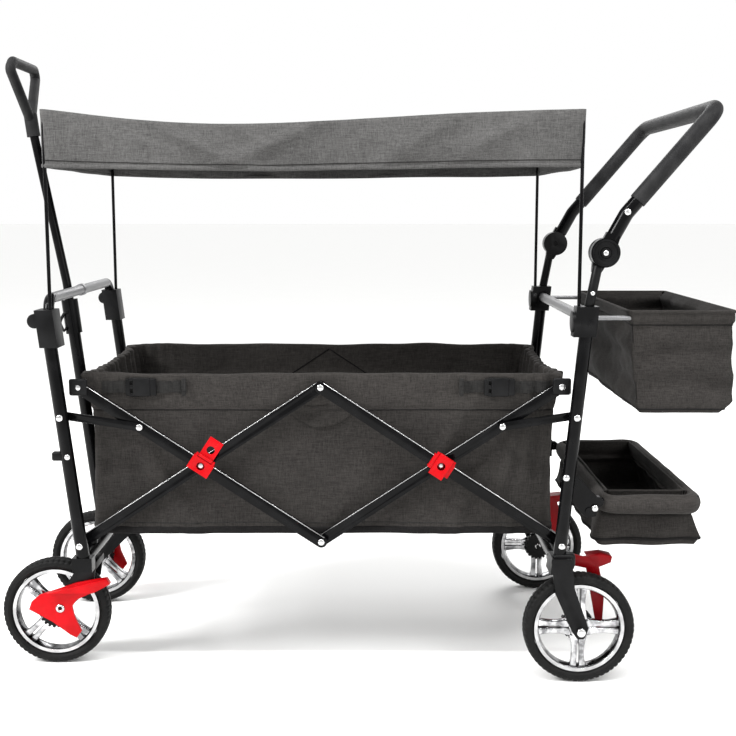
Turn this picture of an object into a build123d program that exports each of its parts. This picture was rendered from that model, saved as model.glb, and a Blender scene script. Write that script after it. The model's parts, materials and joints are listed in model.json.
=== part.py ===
from build123d import *
from math import atan2, cos, degrees, hypot, radians, sin, tan
import os

os.makedirs("parts", exist_ok=True)

# Overall sizes. Length runs along X (rear positive), width along Y, height along Z.
overall_length = 1270
overall_width = 560
post_y = overall_width / 2 - 28
post_r = 11
tube_wall = 1.5
hole_gap = 0.05
seat_gap = 0.1

# Wheels
wheel_r = 95
tyre_w = 36
rim_r = 78
rim_ring = 9
rim_w = 24
hub_r = 17
brake_ring_r = 27
axle_r = 4
front_wheel_y = post_y - 92
rear_wheel_y = post_y - 7
front_axle_x = wheel_r - overall_length / 2
deck_z = 2 * wheel_r

# Folding side bars: two crossed pairs of equal bars on each side
pivot_z = deck_z + 51
front_pivot_x = front_axle_x + 69
rear_pivot_x = overall_length / 2 - 293
fold_span = rear_pivot_x - front_pivot_x
fold_rise = 267
rear_axle_x = rear_pivot_x + 34
bar_angle = degrees(atan2(fold_rise, fold_span / 2))
bar_w = 20
bar_t = 6
bar_gap = 2
rivet_r = 4
head_t = 2
outer_bar_y = post_y - post_r - 5
inner_bar_y = outer_bar_y - bar_t - bar_gap
bar_mid_x = (front_pivot_x + rear_pivot_x) / 2
bar_top_z = pivot_z + fold_rise
front_cross_x = (front_pivot_x + bar_mid_x) / 2
rear_cross_x = (rear_pivot_x + bar_mid_x) / 2
cross_z = pivot_z + fold_rise / 2

# Posts
front_lean = 6.6
rear_lean = 5.3
post_foot_z = deck_z + 6
clamp_z0 = pivot_z + 337
clamp_z1 = pivot_z + 399
clamp_half_l = post_r + 4
rear_clamp_z0 = pivot_z + 355
rear_clamp_z1 = pivot_z + 405
cross_tube_z = pivot_z + 415
cross_tube_r = 9
rear_tube_z = pivot_z + 383
link_z = pivot_z + 220
link_drop = 8.9
link_w = 14
link_t = 3
link_pin_r = 3.5

# Basket
basket_x0 = front_pivot_x + 8
basket_x1 = rear_pivot_x - 4
basket_half_w = outer_bar_y - 20
basket_z0 = pivot_z + 9
basket_z1 = pivot_z + 291
basket_wall = 3
basket_corner_r = 26
board_t = 8
board_gap = 0.5

# Canopy
canopy_x0 = front_pivot_x - 47
canopy_x1 = rear_pivot_x + 29
canopy_half_w = post_y + 5
canopy_z0 = pivot_z + 631
canopy_z1 = pivot_z + 725
canopy_sag = 16
canopy_t = 1.6
canopy_edge_r = 16
hoop_r = 3
hoop_y = post_y - 2
front_hoop_x = front_pivot_x - 38
rear_hoop_x = rear_pivot_x + 21
hoop_gap = 5
hoop_seat = 2

# Push bar
hub_x = rear_pivot_x + 60
hub_z = pivot_z + 493
push_hub_r = 24
push_hub_t = 13
hub_pin_r = 5
hub_gap = 0.3
stub_r = 8
push_bend = (hub_x + 34, hub_z + 63)
grip_end = (hub_x + 178, hub_z + 233)
push_r = 12
push_bend_r = 30
grip_r = 14
button_r = 8

# Pull pole
pull_hinge_x = front_pivot_x - 23
pull_hinge_z = pivot_z - 15
pull_hinge_r = 12
pull_pin_r = 4
pull_r = 11
pull_rod_r = 8
pull_bend_r = 60
collar_r = 15
collar_z0 = pivot_z + 334
collar_z1 = pivot_z + 397
rod_foot_z = pivot_z + 79
pull_bend_z = pivot_z + 427
pull_top = (front_pivot_x - 129, pivot_z + 721)
loop_top = (front_pivot_x - 139, pivot_z + 821)
loop_half_w = 78
loop_corner = 14
loop_r = 9

# Bags
bag_t = 3
bag_hem = 12
upper_bag_half_w = post_y - 30
lower_bag_half_w = post_y - 28
bag_rod_r = 4
lower_rod_r = 5
upper_rod_z = rear_tube_z
lower_rod_z = pivot_z + 71

# Casters
stem_x = front_axle_x + 60
stem_r = 7
leg_t = 5
fork_gap = 3


def post_x(z, rear):
    if rear:
        return rear_pivot_x + (z - pivot_z) * tan(radians(rear_lean))
    return front_pivot_x - (z - pivot_z) * tan(radians(front_lean))


def side_plane(y):
    return Plane(origin=(0, y, 0), x_dir=(1, 0, 0), z_dir=(0, -1, 0))


def plate(points, y0, y1):
    """A flat piece with its outline in X and Z, from y0 outward to y1."""
    return extrude(side_plane(y0) * make_face(Polyline(*points, close=True)), y0 - y1)


def flat_bar(p, q, width, y0, y1):
    """A flat bar with round ends, centred on p and q."""
    middle = Pos((p[0] + q[0]) / 2, (p[1] + q[1]) / 2)
    turn = degrees(atan2(q[1] - p[1], q[0] - p[0]))
    shape = middle * Rot(0, 0, turn) * SlotCenterToCenter(hypot(q[0] - p[0], q[1] - p[1]), width)
    return extrude(side_plane(y0) * shape, y0 - y1)


def round_y(x, z, r, y0, y1):
    """A cylinder along Y."""
    return Pos(x, (y0 + y1) / 2, z) * Rot(90, 0, 0) * Cylinder(r, abs(y1 - y0))


def round_x(y, z, r, x0, x1):
    """A cylinder along X."""
    return Pos((x0 + x1) / 2, y, z) * Rot(0, 90, 0) * Cylinder(r, abs(x1 - x0))


def box(x0, x1, y0, y1, z0, z1):
    middle = Pos((x0 + x1) / 2, (y0 + y1) / 2, (z0 + z1) / 2)
    return middle * Box(abs(x1 - x0), abs(y1 - y0), abs(z1 - z0))


def rod(points, r, bend=0):
    """A round rod along straight runs joined by bends."""
    path = FilletPolyline(*points, radius=bend) if bend else Polyline(*points)
    return sweep(Plane(origin=path @ 0, z_dir=path % 0) * Circle(r), path)


def pipe(points, r, bend=0):
    return rod(points, r, bend) - rod(points, r - tube_wall, bend)


def save(shape, name):
    export_step(shape, f"parts/{name}.step")


def save_pair(shape, name):
    """Writes a left piece and its mirror image on the right."""
    save(shape, f"{name}_left")
    save(mirror(shape, Plane.XZ), f"{name}_right")


def both_sides(shape):
    return Compound([*shape.solids(), *mirror(shape, Plane.XZ).solids()])


# Points of the folding sides
front_low = (front_pivot_x, pivot_z)
rear_low = (rear_pivot_x, pivot_z)
mid_low = (bar_mid_x, pivot_z)
mid_top = (bar_mid_x, bar_top_z)
front_top = (front_pivot_x, bar_top_z)
rear_top = (rear_pivot_x, bar_top_z)
front_cross = (front_cross_x, cross_z)
rear_cross = (rear_cross_x, cross_z)
front_link_x = post_x(link_z, False)
rear_link_x = post_x(link_z, True)
outer = (-outer_bar_y + bar_t, -outer_bar_y)
inner = (-inner_bar_y + bar_t, -inner_bar_y)


def side_bar(p, q, layer, rivets, holes):
    """One folding bar. Its rivets pass inward through the bars behind it."""
    bar = flat_bar(p, q, bar_w, *layer)
    for x, z in rivets:
        bar += round_y(x, z, rivet_r, -outer_bar_y, -inner_bar_y + bar_t + 1)
        bar += round_y(x, z, rivet_r + 2, -outer_bar_y - head_t, -outer_bar_y)
    for x, z in holes:
        bar -= round_y(x, z, rivet_r + hole_gap, layer[0] + 1, layer[1] - 1)
    return bar


save_pair(side_bar(front_top, mid_low, outer, [front_cross, mid_low], []), "front_outer_bar")
save_pair(side_bar(front_low, mid_top, inner, [], [front_low, front_cross, mid_top]), "front_inner_bar")
save_pair(side_bar(mid_top, rear_low, outer, [mid_top, rear_cross], [rear_low]), "rear_outer_bar")
save_pair(side_bar(mid_low, rear_top, inner, [], [mid_low, rear_cross]), "rear_inner_bar")

# Links between the posts and the upper ends of the bars
link_y = outer_bar_y + 1.5


def link(x, direction, beyond):
    slope = 2 * fold_rise / fold_span
    run, drop = cos(radians(link_drop)), sin(radians(link_drop))
    length = (bar_top_z + slope * beyond - link_z) / (slope * run - drop)
    far = (x + direction * length * run, link_z - length * drop)
    strip = flat_bar((x, link_z), far, link_w, -link_y, -link_y - link_t)
    strip -= round_y(x, link_z, link_pin_r + hole_gap, -link_y + 1, -link_y - link_t - 1)
    strip += round_y(*far, rivet_r + 1, -link_y - link_t, -link_y - link_t - head_t)
    return strip


save(both_sides(link(front_link_x, 1, front_pivot_x - front_link_x)), "front_links")
save(both_sides(link(rear_link_x, -1, rear_link_x - rear_pivot_x)), "rear_links")


# Front posts, with the pivot pins of the bars and links
def post_pins(x, bar_y, link_x):
    pins = round_y(x, pivot_z, rivet_r, -post_y, bar_y + 1)
    pins += round_y(x, pivot_z, rivet_r + 3, -post_y, bar_y - bar_t - 0.5)
    pins += round_y(link_x, link_z, link_pin_r, -post_y, -link_y - 0.2)
    pins += round_y(x, pivot_z, rivet_r + 1, -post_y - post_r - head_t, -post_y)
    pins += round_y(link_x, link_z, rivet_r + 1, -post_y - post_r - head_t, -post_y)
    return pins


def post_run(rear, z0, z1):
    return [(post_x(z0, rear), -post_y, z0), (post_x(z1, rear), -post_y, z1)]


front_run = post_run(False, post_foot_z, clamp_z1 - 4)
front_post = pipe(front_run, post_r) + post_pins(front_pivot_x, inner[0], front_link_x)
foot_x0, foot_x1 = front_pivot_x - 14, front_pivot_x + 20
foot_y0, foot_y1 = -post_y - post_r - 1, -post_y + post_r + 1
front_post += box(foot_x0, foot_x1, foot_y0, foot_y1, post_foot_z, post_foot_z + 24)
save_pair(front_post, "front_post")

# Front cross tube, bent down at both ends into the clamps
cross_x = post_x(cross_tube_z, False)
cross_y = post_y - post_r - cross_tube_r - 1
leg_foot_z = clamp_z0 + 12
leg_foot_x = post_x(leg_foot_z, False)
cross_runs = [
    (leg_foot_x, -cross_y, leg_foot_z),
    (cross_x, -cross_y, cross_tube_z),
    (cross_x, cross_y, cross_tube_z),
    (leg_foot_x, cross_y, leg_foot_z),
]
cross_bend_r = 28
middle_ring_l = 16
cross_tube = pipe(cross_runs, cross_tube_r, cross_bend_r)
ring_run = [(cross_x, -middle_ring_l / 2, cross_tube_z), (cross_x, middle_ring_l / 2, cross_tube_z)]
cross_tube += rod(ring_run, cross_tube_r + 2) - rod(ring_run, cross_tube_r - 1)
save(cross_tube, "front_cross_tube")


# Clamps that hold posts, cross tube and canopy hoop together
def leaning_block(rear, z0, z1, x0, x1, y0, y1):
    a, b = post_x(z0, rear), post_x(z1, rear)
    return plate([(a + x0, z0), (a + x1, z0), (b + x1, z1), (b + x0, z1)], y0, y1)


clamp_y = post_y + post_r + 2
clamp_in = cross_tube_r + 3 - cross_y
front_clamp = leaning_block(False, clamp_z0, clamp_z1, -clamp_half_l, clamp_half_l, clamp_in, -clamp_y)
front_clamp -= rod(front_run, post_r + seat_gap)
front_clamp -= rod(cross_runs, cross_tube_r + seat_gap, cross_bend_r)
front_clamp -= Pos(front_hoop_x, -hoop_y, clamp_z1) * Cylinder(hoop_r + seat_gap, 2 * hoop_seat)
knob_r = 12
knob_z = clamp_z1 - 18
knob_x = post_x(knob_z, False) - clamp_half_l - 3
front_clamp += round_y(knob_x, knob_z, knob_r, -post_y - 9, -post_y + 7)
front_clamp -= rod(front_run, post_r + seat_gap)
save(both_sides(front_clamp), "front_clamps")

# Lower front beam with the two caster sockets and the pull hinge
beam_x = front_pivot_x
beam_z = deck_z + 18
beam_r = 11
beam_end = post_y - post_r - 1.5
front_beam = rod([(beam_x, -beam_end, beam_z), (beam_x, beam_end, beam_z)], beam_r)
socket_z0 = deck_z + 4
socket_z1 = deck_z + 36
socket_r = 15
for side in (-1, 1):
    front_beam += Pos(stem_x, side * front_wheel_y, (socket_z0 + socket_z1) / 2) * Cylinder(
        socket_r, socket_z1 - socket_z0
    )
for side in (-1, 1):
    front_beam -= Pos(stem_x, side * front_wheel_y, (socket_z0 + socket_z1) / 2) * Cylinder(
        stem_r + hole_gap, socket_z1 - socket_z0 + 2
    )
pull_ear_y = 16
ear_t = 6
for side in (-1, 1):
    ear = [
        (beam_x, beam_z - 6),
        (beam_x, pull_hinge_z + 8),
        (pull_hinge_x - 8, pull_hinge_z + 8),
        (pull_hinge_x - 8, pull_hinge_z - 8),
    ]
    front_beam += plate(ear, side * pull_ear_y + ear_t / 2, side * pull_ear_y - ear_t / 2)
front_beam += round_y(pull_hinge_x, pull_hinge_z, pull_pin_r, -pull_ear_y, pull_ear_y)
save(front_beam, "front_beam")

# Rear posts
rear_run = post_run(True, post_foot_z, rear_clamp_z1 - 4)
rear_post = pipe(rear_run, post_r) + post_pins(rear_pivot_x, outer[0], rear_link_x)
save_pair(rear_post, "rear_post")

rear_tube_x = post_x(rear_tube_z, True)
rear_tube_end = post_y - post_r - 5
rear_tube_run = [(rear_tube_x, -rear_tube_end, rear_tube_z), (rear_tube_x, rear_tube_end, rear_tube_z)]
save(pipe(rear_tube_run, cross_tube_r), "rear_cross_tube")

back = clamp_half_l + 7
clamp_in = post_r + 6 - post_y
rear_clamp = leaning_block(True, rear_clamp_z0, rear_clamp_z1, -back, clamp_half_l, clamp_in, -clamp_y)
rear_clamp -= rod(rear_run, post_r + seat_gap)
rear_clamp -= rod(rear_tube_run, cross_tube_r + seat_gap)
rear_clamp -= Pos(rear_hoop_x, -hoop_y, rear_clamp_z1) * Cylinder(hoop_r + seat_gap, 2 * hoop_seat)
disc_r = 18
disc_z = rear_tube_z - 4
disc_y = -inner_bar_y - bar_gap - disc_r
disc_x = post_x(rear_tube_z + 2, True) - clamp_half_l - 2
rear_clamp += round_x(disc_y, disc_z, disc_r, disc_x - 9, disc_x + 3)
rear_clamp -= rod(rear_run, post_r + seat_gap)
stop_z = rear_tube_z - 6
rear_clamp += round_y(post_x(stop_z, True) + 6, stop_z, 6, -clamp_y - 3, -clamp_y)
stub_top = (hub_x - 10, hub_z - 22)
stub_foot = (post_x(rear_clamp_z1, True), rear_clamp_z1 - 0.5)
stub_run = [(stub_foot[0], -post_y, stub_foot[1]), (stub_top[0], -post_y, stub_top[1])]
rear_clamp -= rod(stub_run, stub_r + seat_gap)
save(both_sides(rear_clamp), "rear_clamps")

# Fixed halves of the push bar hubs on their stub tubes
hub_split = -post_y
stub = rod(stub_run, stub_r)
stub -= round_y(hub_x, hub_z, push_hub_r + 2 * hub_gap, -post_y - 20, -post_y + 20)
fixed_hub = round_y(hub_x, hub_z, push_hub_r, hub_split + hub_gap, hub_split + push_hub_t)
neck = [
    (stub_top[0] - 9, stub_top[1] - 10),
    (stub_top[0] + 7, stub_top[1] - 10),
    (hub_x + 12, hub_z - 8),
    (hub_x - 18, hub_z - 8),
]
fixed_hub += plate(neck, hub_split + push_hub_t - 2, hub_split + hub_gap)
fixed_hub += stub
fixed_hub -= round_y(hub_x, hub_z, hub_pin_r + hole_gap, -post_y - 1, -post_y + push_hub_t + 1)
save(both_sides(fixed_hub), "push_hubs")

# Rear knuckles with the single outer wheel arms
knuckle_z0 = deck_z + 5
knuckle_z1 = deck_z + 32
arm_y0 = rear_wheel_y + tyre_w / 2 + 3
arm_t = 8
knuckle_y0 = rear_wheel_y - tyre_w / 2 - 2
knuckle = [
    (rear_pivot_x - 20, knuckle_z0),
    (rear_pivot_x + 16, knuckle_z0),
    (rear_pivot_x + 16, knuckle_z1),
    (rear_pivot_x - 16, knuckle_z1),
]
rear_arm = plate(knuckle, -knuckle_y0, -arm_y0 - arm_t)
rear_arm -= rod(rear_run, post_r + seat_gap)
arm_outline = [
    (rear_pivot_x - 19, knuckle_z1),
    (rear_pivot_x + 16, knuckle_z1),
    (rear_pivot_x + 22, deck_z - 20),
    (rear_axle_x + 13, wheel_r + 6),
    (rear_axle_x + 6, wheel_r - 13),
    (rear_axle_x - 6, wheel_r - 13),
    (rear_axle_x - 15, wheel_r),
    (rear_pivot_x - 10, deck_z - 30),
]
rear_arm += fillet(plate(arm_outline, -arm_y0, -arm_y0 - arm_t).edges().filter_by(Axis.Y), 5)
rear_arm += round_y(rear_axle_x, wheel_r, axle_r, -knuckle_y0 + 8, -arm_y0 - arm_t)
rear_arm += round_y(rear_axle_x, wheel_r, 8, -arm_y0 - arm_t, -overall_width / 2)
rear_lever_pin = (rear_pivot_x + 10, deck_z + 19)
lever_pin_r = 3
rear_arm += round_y(*rear_lever_pin, lever_pin_r, -knuckle_y0 + 8, -knuckle_y0 - 4)
save_pair(rear_arm, "rear_arm")

rear_beam = rod(
    [(rear_pivot_x - 4, -knuckle_y0 + 10, beam_z), (rear_pivot_x - 4, knuckle_y0 - 10, beam_z)], beam_r
)
for side in (-1, 1):
    rear_beam += round_y(rear_pivot_x - 9, beam_z, 9, side * (knuckle_y0 - 12), side * (knuckle_y0 - 0.2))
save(rear_beam, "rear_beam")


# Caster forks: stem, crown and two legs round the wheel
stem_l = 34
fork_leg_in = tyre_w / 2 + fork_gap + 4


def caster_fork():
    y = -front_wheel_y
    leg_in = fork_leg_in
    crown = box(stem_x - 8, stem_x + 18, y - leg_in - leg_t, y + leg_in + leg_t, deck_z - 12, deck_z)
    fork = crown + Pos(stem_x, y, deck_z + 16) * Cylinder(stem_r, stem_l)
    leg = [
        (stem_x - 8, deck_z),
        (stem_x + 18, deck_z),
        (stem_x + 12, deck_z - 40),
        (front_axle_x + 14, wheel_r - 2),
        (front_axle_x, wheel_r - 14),
        (front_axle_x - 13, wheel_r + 2),
    ]
    for near, far in ((y - leg_in, y - leg_in - leg_t), (y + leg_in + leg_t, y + leg_in)):
        fork += plate(leg, near, far)
    fork += round_y(front_axle_x, wheel_r, axle_r, y - leg_in - leg_t, y + leg_in + leg_t)
    fork += round_y(*front_lever_pin, lever_pin_r, y - leg_in - leg_t - 7, y - leg_in - leg_t)
    return fork


front_lever_pin = (front_axle_x + 14, wheel_r + 14)
save_pair(caster_fork(), "caster_fork")


# Wheels
def tyre(x, y):
    outer_half = tyre_w / 2
    inner_half = rim_w / 2
    profile = [
        (rim_r + 0.15, -inner_half),
        (rim_r + 4, -outer_half + 1),
        (wheel_r - 8, -outer_half),
        (wheel_r - 2, -outer_half + 5),
        (wheel_r, -outer_half + 11),
        (wheel_r, outer_half - 11),
        (wheel_r - 2, outer_half - 5),
        (wheel_r - 8, outer_half),
        (rim_r + 4, outer_half - 1),
        (rim_r + 0.15, inner_half),
    ]
    face = Plane.XY * make_face(Polyline(*profile, close=True))
    return Pos(x, y, wheel_r) * revolve(face, Axis.Y)


def rim(x, y, turn, ring_side):
    ring = Cylinder(rim_r, rim_w) - Cylinder(rim_r - rim_ring, rim_w + 2)
    wheel = ring + Cylinder(hub_r, rim_w)
    spoke_l = rim_r - rim_ring - hub_r + 4
    for n in range(4):
        for offset in (-8, 8):
            spoke = Pos(hub_r - 2 + spoke_l / 2, offset, 0) * Box(spoke_l, 9, 11)
            wheel += Rot(0, 0, turn + 90 * n) * spoke
    wheel += Pos(0, 0, ring_side * (rim_w / 2 + 1.5)) * Cylinder(brake_ring_r, 11)
    wheel -= Cylinder(axle_r + hole_gap, 3 * rim_w)
    return Pos(x, y, wheel_r) * Rot(90, 0, 0) * wheel


save_pair(tyre(front_axle_x, -front_wheel_y), "front_tyre")
save_pair(tyre(rear_axle_x, -rear_wheel_y), "rear_tyre")
save_pair(rim(front_axle_x, -front_wheel_y, 45, 1), "front_rim")
save_pair(rim(rear_axle_x, -rear_wheel_y, 0, -1), "rear_rim")

# Brake levers
px, pz = front_lever_pin
front_lever_y = front_wheel_y + fork_leg_in + leg_t + 1
lever_t = 6
front_lever_outline = [
    (px - 55, pz - 2),
    (px - 50, pz + 12),
    (px - 36, pz + 24),
    (px + 30, pz + 46),
    (px + 84, pz + 56),
    (px + 90, pz + 46),
    (px + 60, pz + 30),
    (px + 30, pz + 16),
    (px + 21, pz + 3),
    (px + 24, pz - 14),
    (px + 36, pz - 42),
    (px + 27, pz - 54),
    (px + 16, pz - 48),
    (px - 15, pz - 24),
]
front_lever = plate(front_lever_outline, -front_lever_y, -front_lever_y - lever_t)
tread = [(px - 20, pz + 29.5), *front_lever_outline[4:7], (px + 40, pz + 30)]
tread_t = 14
front_lever += plate(tread, -front_lever_y, -front_lever_y - tread_t)
front_lever -= round_y(px, pz, lever_pin_r + hole_gap, -front_lever_y + 5, -front_lever_y - 20)
save_pair(front_lever, "front_brake")

qx, qz = rear_lever_pin
rear_lever_y = knuckle_y0 - 1
rear_lever_outline = [
    (qx - 8, qz - 8),
    (qx - 8, qz + 8),
    (qx + 8, qz + 9),
    (qx + 34, qz + 2),
    (qx + 66, qz + 6),
    (qx + 84, qz + 2),
    (qx + 82, qz - 8),
    (qx + 62, qz - 16),
    (qx + 72, qz - 60),
    (qx + 70, qz - 112),
    (qx + 58, qz - 112),
    (qx + 48, qz - 60),
    (qx + 40, qz - 18),
]
rear_lever = plate(rear_lever_outline, -rear_lever_y + lever_t, -rear_lever_y)
pedal = [(qx + 40, qz + 3), (qx + 66, qz + 6), (qx + 84, qz + 2), (qx + 82, qz - 8), (qx + 62, qz - 9)]
pedal_t = 30
rear_lever += plate(pedal, -rear_lever_y + pedal_t, -rear_lever_y)
rear_lever -= round_y(qx, qz, lever_pin_r + hole_gap, -rear_lever_y + 40, -rear_lever_y - 5)
save_pair(rear_lever, "rear_brake")


# Lock latches at the bar crossings
latch_half_l = 20
latch_half_w = bar_w / 2 + 2.4
latch_y0 = outer_bar_y
latch_y1 = outer_bar_y + 7.5
flap_axis_v = latch_half_w + 3.6
flap_axis_y = outer_bar_y + 5.5
flap_l = 36
flap_w = 26
flap_t = 2.5
flap_pin_r = 1.2
lug_x = 16
lug_t = 4


def on_bar(shape, centre):
    """Moves a piece drawn along X at the origin to a falling bar's direction at centre."""
    return Pos(centre[0], 0, centre[1]) * Rot(0, bar_angle, 0) * shape


def latch_base():
    base = box(-latch_half_l, latch_half_l, -latch_y0, -latch_y1, -latch_half_w, latch_half_w)
    base -= round_y(0, 0, rivet_r + 3, -latch_y0 + 1, -latch_y1 - 1)
    for side in (-1, 1):
        edge = side * (bar_w / 2 + 0.2)
        base += box(-latch_half_l, latch_half_l, -latch_y0 + 5, -latch_y0, edge, side * latch_half_w)
        base += box(
            side * (lug_x - lug_t / 2),
            side * (lug_x + lug_t / 2),
            -flap_axis_y + 2.5,
            -flap_axis_y - 2,
            latch_half_w - 2,
            flap_axis_v + 2.5,
        )
    base += round_x(-flap_axis_y, flap_axis_v, flap_pin_r, -lug_x, lug_x)
    return base


def latch_flap(stands):
    skin_y = -flap_axis_y - 3
    flap = box(-flap_w / 2, flap_w / 2, skin_y, skin_y - flap_t, flap_axis_v - flap_l, flap_axis_v + 2)
    flap += round_x(-flap_axis_y, flap_axis_v, 3.2, -flap_w / 2, flap_w / 2)
    flap -= round_x(-flap_axis_y, flap_axis_v, flap_pin_r + hole_gap, -flap_w, flap_w)
    flap -= round_y(0, flap_axis_v - 16, rivet_r + 3, -flap_axis_y, -flap_axis_y - 8)
    if stands:
        centre = Pos(0, -flap_axis_y, flap_axis_v)
        flap = centre * Rot(180, 0, 0) * centre.inverse() * flap
    return flap


save(both_sides(on_bar(latch_base(), front_cross)), "front_latch_bases")
save(both_sides(on_bar(latch_base(), rear_cross)), "rear_latch_bases")
save_pair(on_bar(latch_flap(True), front_cross), "front_latch_flap")
save_pair(on_bar(latch_flap(False), rear_cross), "rear_latch_flap")


# Basket of cloth, open at the top
def tub(x0, x1, half_w, z0, z1, r):
    block = box(x0, x1, -half_w, half_w, z0, z1)
    return fillet(block.edges().filter_by(Axis.Z), r)


basket = tub(basket_x0, basket_x1, basket_half_w, basket_z0, basket_z1, basket_corner_r)
basket -= tub(
    basket_x0 + basket_wall,
    basket_x1 - basket_wall,
    basket_half_w - basket_wall,
    basket_z0 + basket_wall,
    basket_z1 + 1,
    basket_corner_r - basket_wall,
)
save(basket, "basket")
floor_board = tub(
    basket_x0 + basket_wall + board_gap,
    basket_x1 - basket_wall - board_gap,
    basket_half_w - basket_wall - board_gap,
    basket_z0 + basket_wall,
    basket_z0 + basket_wall + board_t,
    basket_corner_r - basket_wall - board_gap,
)
save(floor_board, "basket_floor")

# Straps with side-release buckles near the rim
strap_z = basket_z1 - 26
strap_y = -basket_half_w - 0.2
front_strap = (basket_x0 + 58, basket_x0 + 188, basket_x0 + 119)
rear_strap = (basket_x1 - 168, basket_x1 - basket_corner_r, basket_x1 - 110)
straps = []
for x0, x1, buckle_x in (front_strap, rear_strap):
    strap = box(x0, x1, strap_y, strap_y - 1.2, strap_z - 10, strap_z + 10)
    strap += box(buckle_x - 26, buckle_x + 26, strap_y, strap_y - 4.4, strap_z - 14, strap_z + 14)
    straps += both_sides(strap).solids()
save(Compound(straps), "basket_straps")


# Canopy cover: sagging top with a valance all round, on two hoops
def canopy_block(inset):
    x0, x1 = canopy_x0 + inset, canopy_x1 - inset
    top = canopy_z1 - inset
    base_z = canopy_z0 - (1 if inset else 0)
    r = canopy_edge_r
    middle = (x0 + x1) / 2
    sag_line = Spline((x0 + r, top), (middle, top - canopy_sag), (x1 - r, top))
    outline = [
        sag_line,
        Line((x1 - r, top), (x1 - 6, top - 3)),
        Line((x1 - 6, top - 3), (x1 - 2, top - 8)),
        Line((x1 - 2, top - 8), (x1, top - r)),
        Line((x1, top - r), (x1, base_z)),
        Line((x1, base_z), (x0, base_z)),
        Line((x0, base_z), (x0, top - r)),
        Line((x0, top - r), (x0 + 2, top - 8)),
        Line((x0 + 2, top - 8), (x0 + 6, top - 3)),
        Line((x0 + 6, top - 3), (x0 + r, top)),
    ]
    half = canopy_half_w - inset
    return extrude(side_plane(half) * make_face(Wire(outline)), 2 * half)


save(canopy_block(0) - canopy_block(canopy_t), "canopy_cover")


def hoop(x, z0):
    top = canopy_z1 - canopy_t - hoop_r - hoop_gap
    foot = z0 - hoop_seat
    runs = [(x, -hoop_y, foot), (x, -hoop_y, top), (x, hoop_y, top), (x, hoop_y, foot)]
    return rod(runs, hoop_r, 18)


save(hoop(front_hoop_x, clamp_z1), "front_hoop")
save(hoop(rear_hoop_x, rear_clamp_z1), "rear_hoop")


# Bags behind the rear posts
def bag(outline, half_w):
    body = extrude(side_plane(half_w) * make_face(Polyline(*outline, close=True)), 2 * half_w)
    inside = offset(make_face(Polyline(*outline, close=True)), -bag_t)
    body -= extrude(side_plane(half_w - bag_t) * inside, 2 * (half_w - bag_t))
    top = max(z for x, z in outline)
    xs = [x for x, z in outline if z > top - bag_hem]
    y = half_w - bag_t
    mouth = box(min(xs) + bag_t, max(xs) - bag_t, -y, y, top - bag_hem - 2, top + 5)
    return body - mouth


upper_rim_x = rear_pivot_x + 274
upper_bag_outline = [
    (rear_pivot_x + 110, pivot_z + 391),
    (upper_rim_x, pivot_z + 391),
    (overall_length / 2, pivot_z + 241),
    (rear_pivot_x + 266, pivot_z + 223),
    (rear_pivot_x + 126, pivot_z + 223),
]
lower_bag_outline = [
    (rear_pivot_x + 70, pivot_z + 81),
    (rear_pivot_x + 224, pivot_z + 81),
    (rear_pivot_x + 250, pivot_z + 3),
    (rear_pivot_x + 236, pivot_z - 5),
    (rear_pivot_x + 62, pivot_z - 9),
]
save(bag(upper_bag_outline, upper_bag_half_w), "upper_bag")
save(bag(lower_bag_outline, lower_bag_half_w), "lower_bag")

bag_rod_y = upper_bag_half_w + bag_rod_r + 1
upper_rod_x0 = post_x(upper_rod_z, True) + clamp_half_l + 0.5
upper_rod_x1 = upper_rim_x + bag_rod_r + 3
save(
    rod(
        [
            (upper_rod_x0, -bag_rod_y, upper_rod_z),
            (upper_rod_x1, -bag_rod_y, upper_rod_z),
            (upper_rod_x1, bag_rod_y, upper_rod_z),
            (upper_rod_x0, bag_rod_y, upper_rod_z),
        ],
        bag_rod_r,
        8,
    ),
    "upper_bag_frame",
)
lower_rod_y = lower_bag_half_w + 6
lower_rod_x0 = rear_pivot_x + 62
lower_rod_x1 = rear_pivot_x + 236
lower_frame = rod(
    [
        (lower_rod_x0, -lower_rod_y, lower_rod_z),
        (lower_rod_x1, -lower_rod_y, lower_rod_z + 4),
        (lower_rod_x1, lower_rod_y, lower_rod_z + 4),
        (lower_rod_x0, lower_rod_y, lower_rod_z),
    ],
    lower_rod_r,
    9,
)
bracket_x = post_x(lower_rod_z + 40, True)
bracket = [
    (bracket_x - 12, lower_rod_z + 28),
    (bracket_x - 8, lower_rod_z + 52),
    (bracket_x + 10, lower_rod_z + 52),
    (lower_rod_x0 - 0.5, lower_rod_z + 10),
    (lower_rod_x0 - 0.5, lower_rod_z - 24),
    (lower_rod_x0 - 18, lower_rod_z - 28),
]
bracket_y = post_r + 0.5 - post_y
bracket_piece = plate(bracket, bracket_y + 3.7, bracket_y)
bracket_piece += round_y(lower_rod_x0 + 2, lower_rod_z, 9, -lower_rod_y + 2, bracket_y)
bracket_piece += round_y(lower_rod_x0 - 13, lower_rod_z - 16, 7, bracket_y, bracket_y - 2.5)
lower_frame += both_sides(bracket_piece)
save(lower_frame, "lower_bag_frame")

# Push bar: two arms, moving hub halves and a foam grip
arm_start = (
    hub_x + (push_hub_r + 1) * cos(radians(62)),
    hub_z + (push_hub_r + 1) * sin(radians(62)),
)
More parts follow.
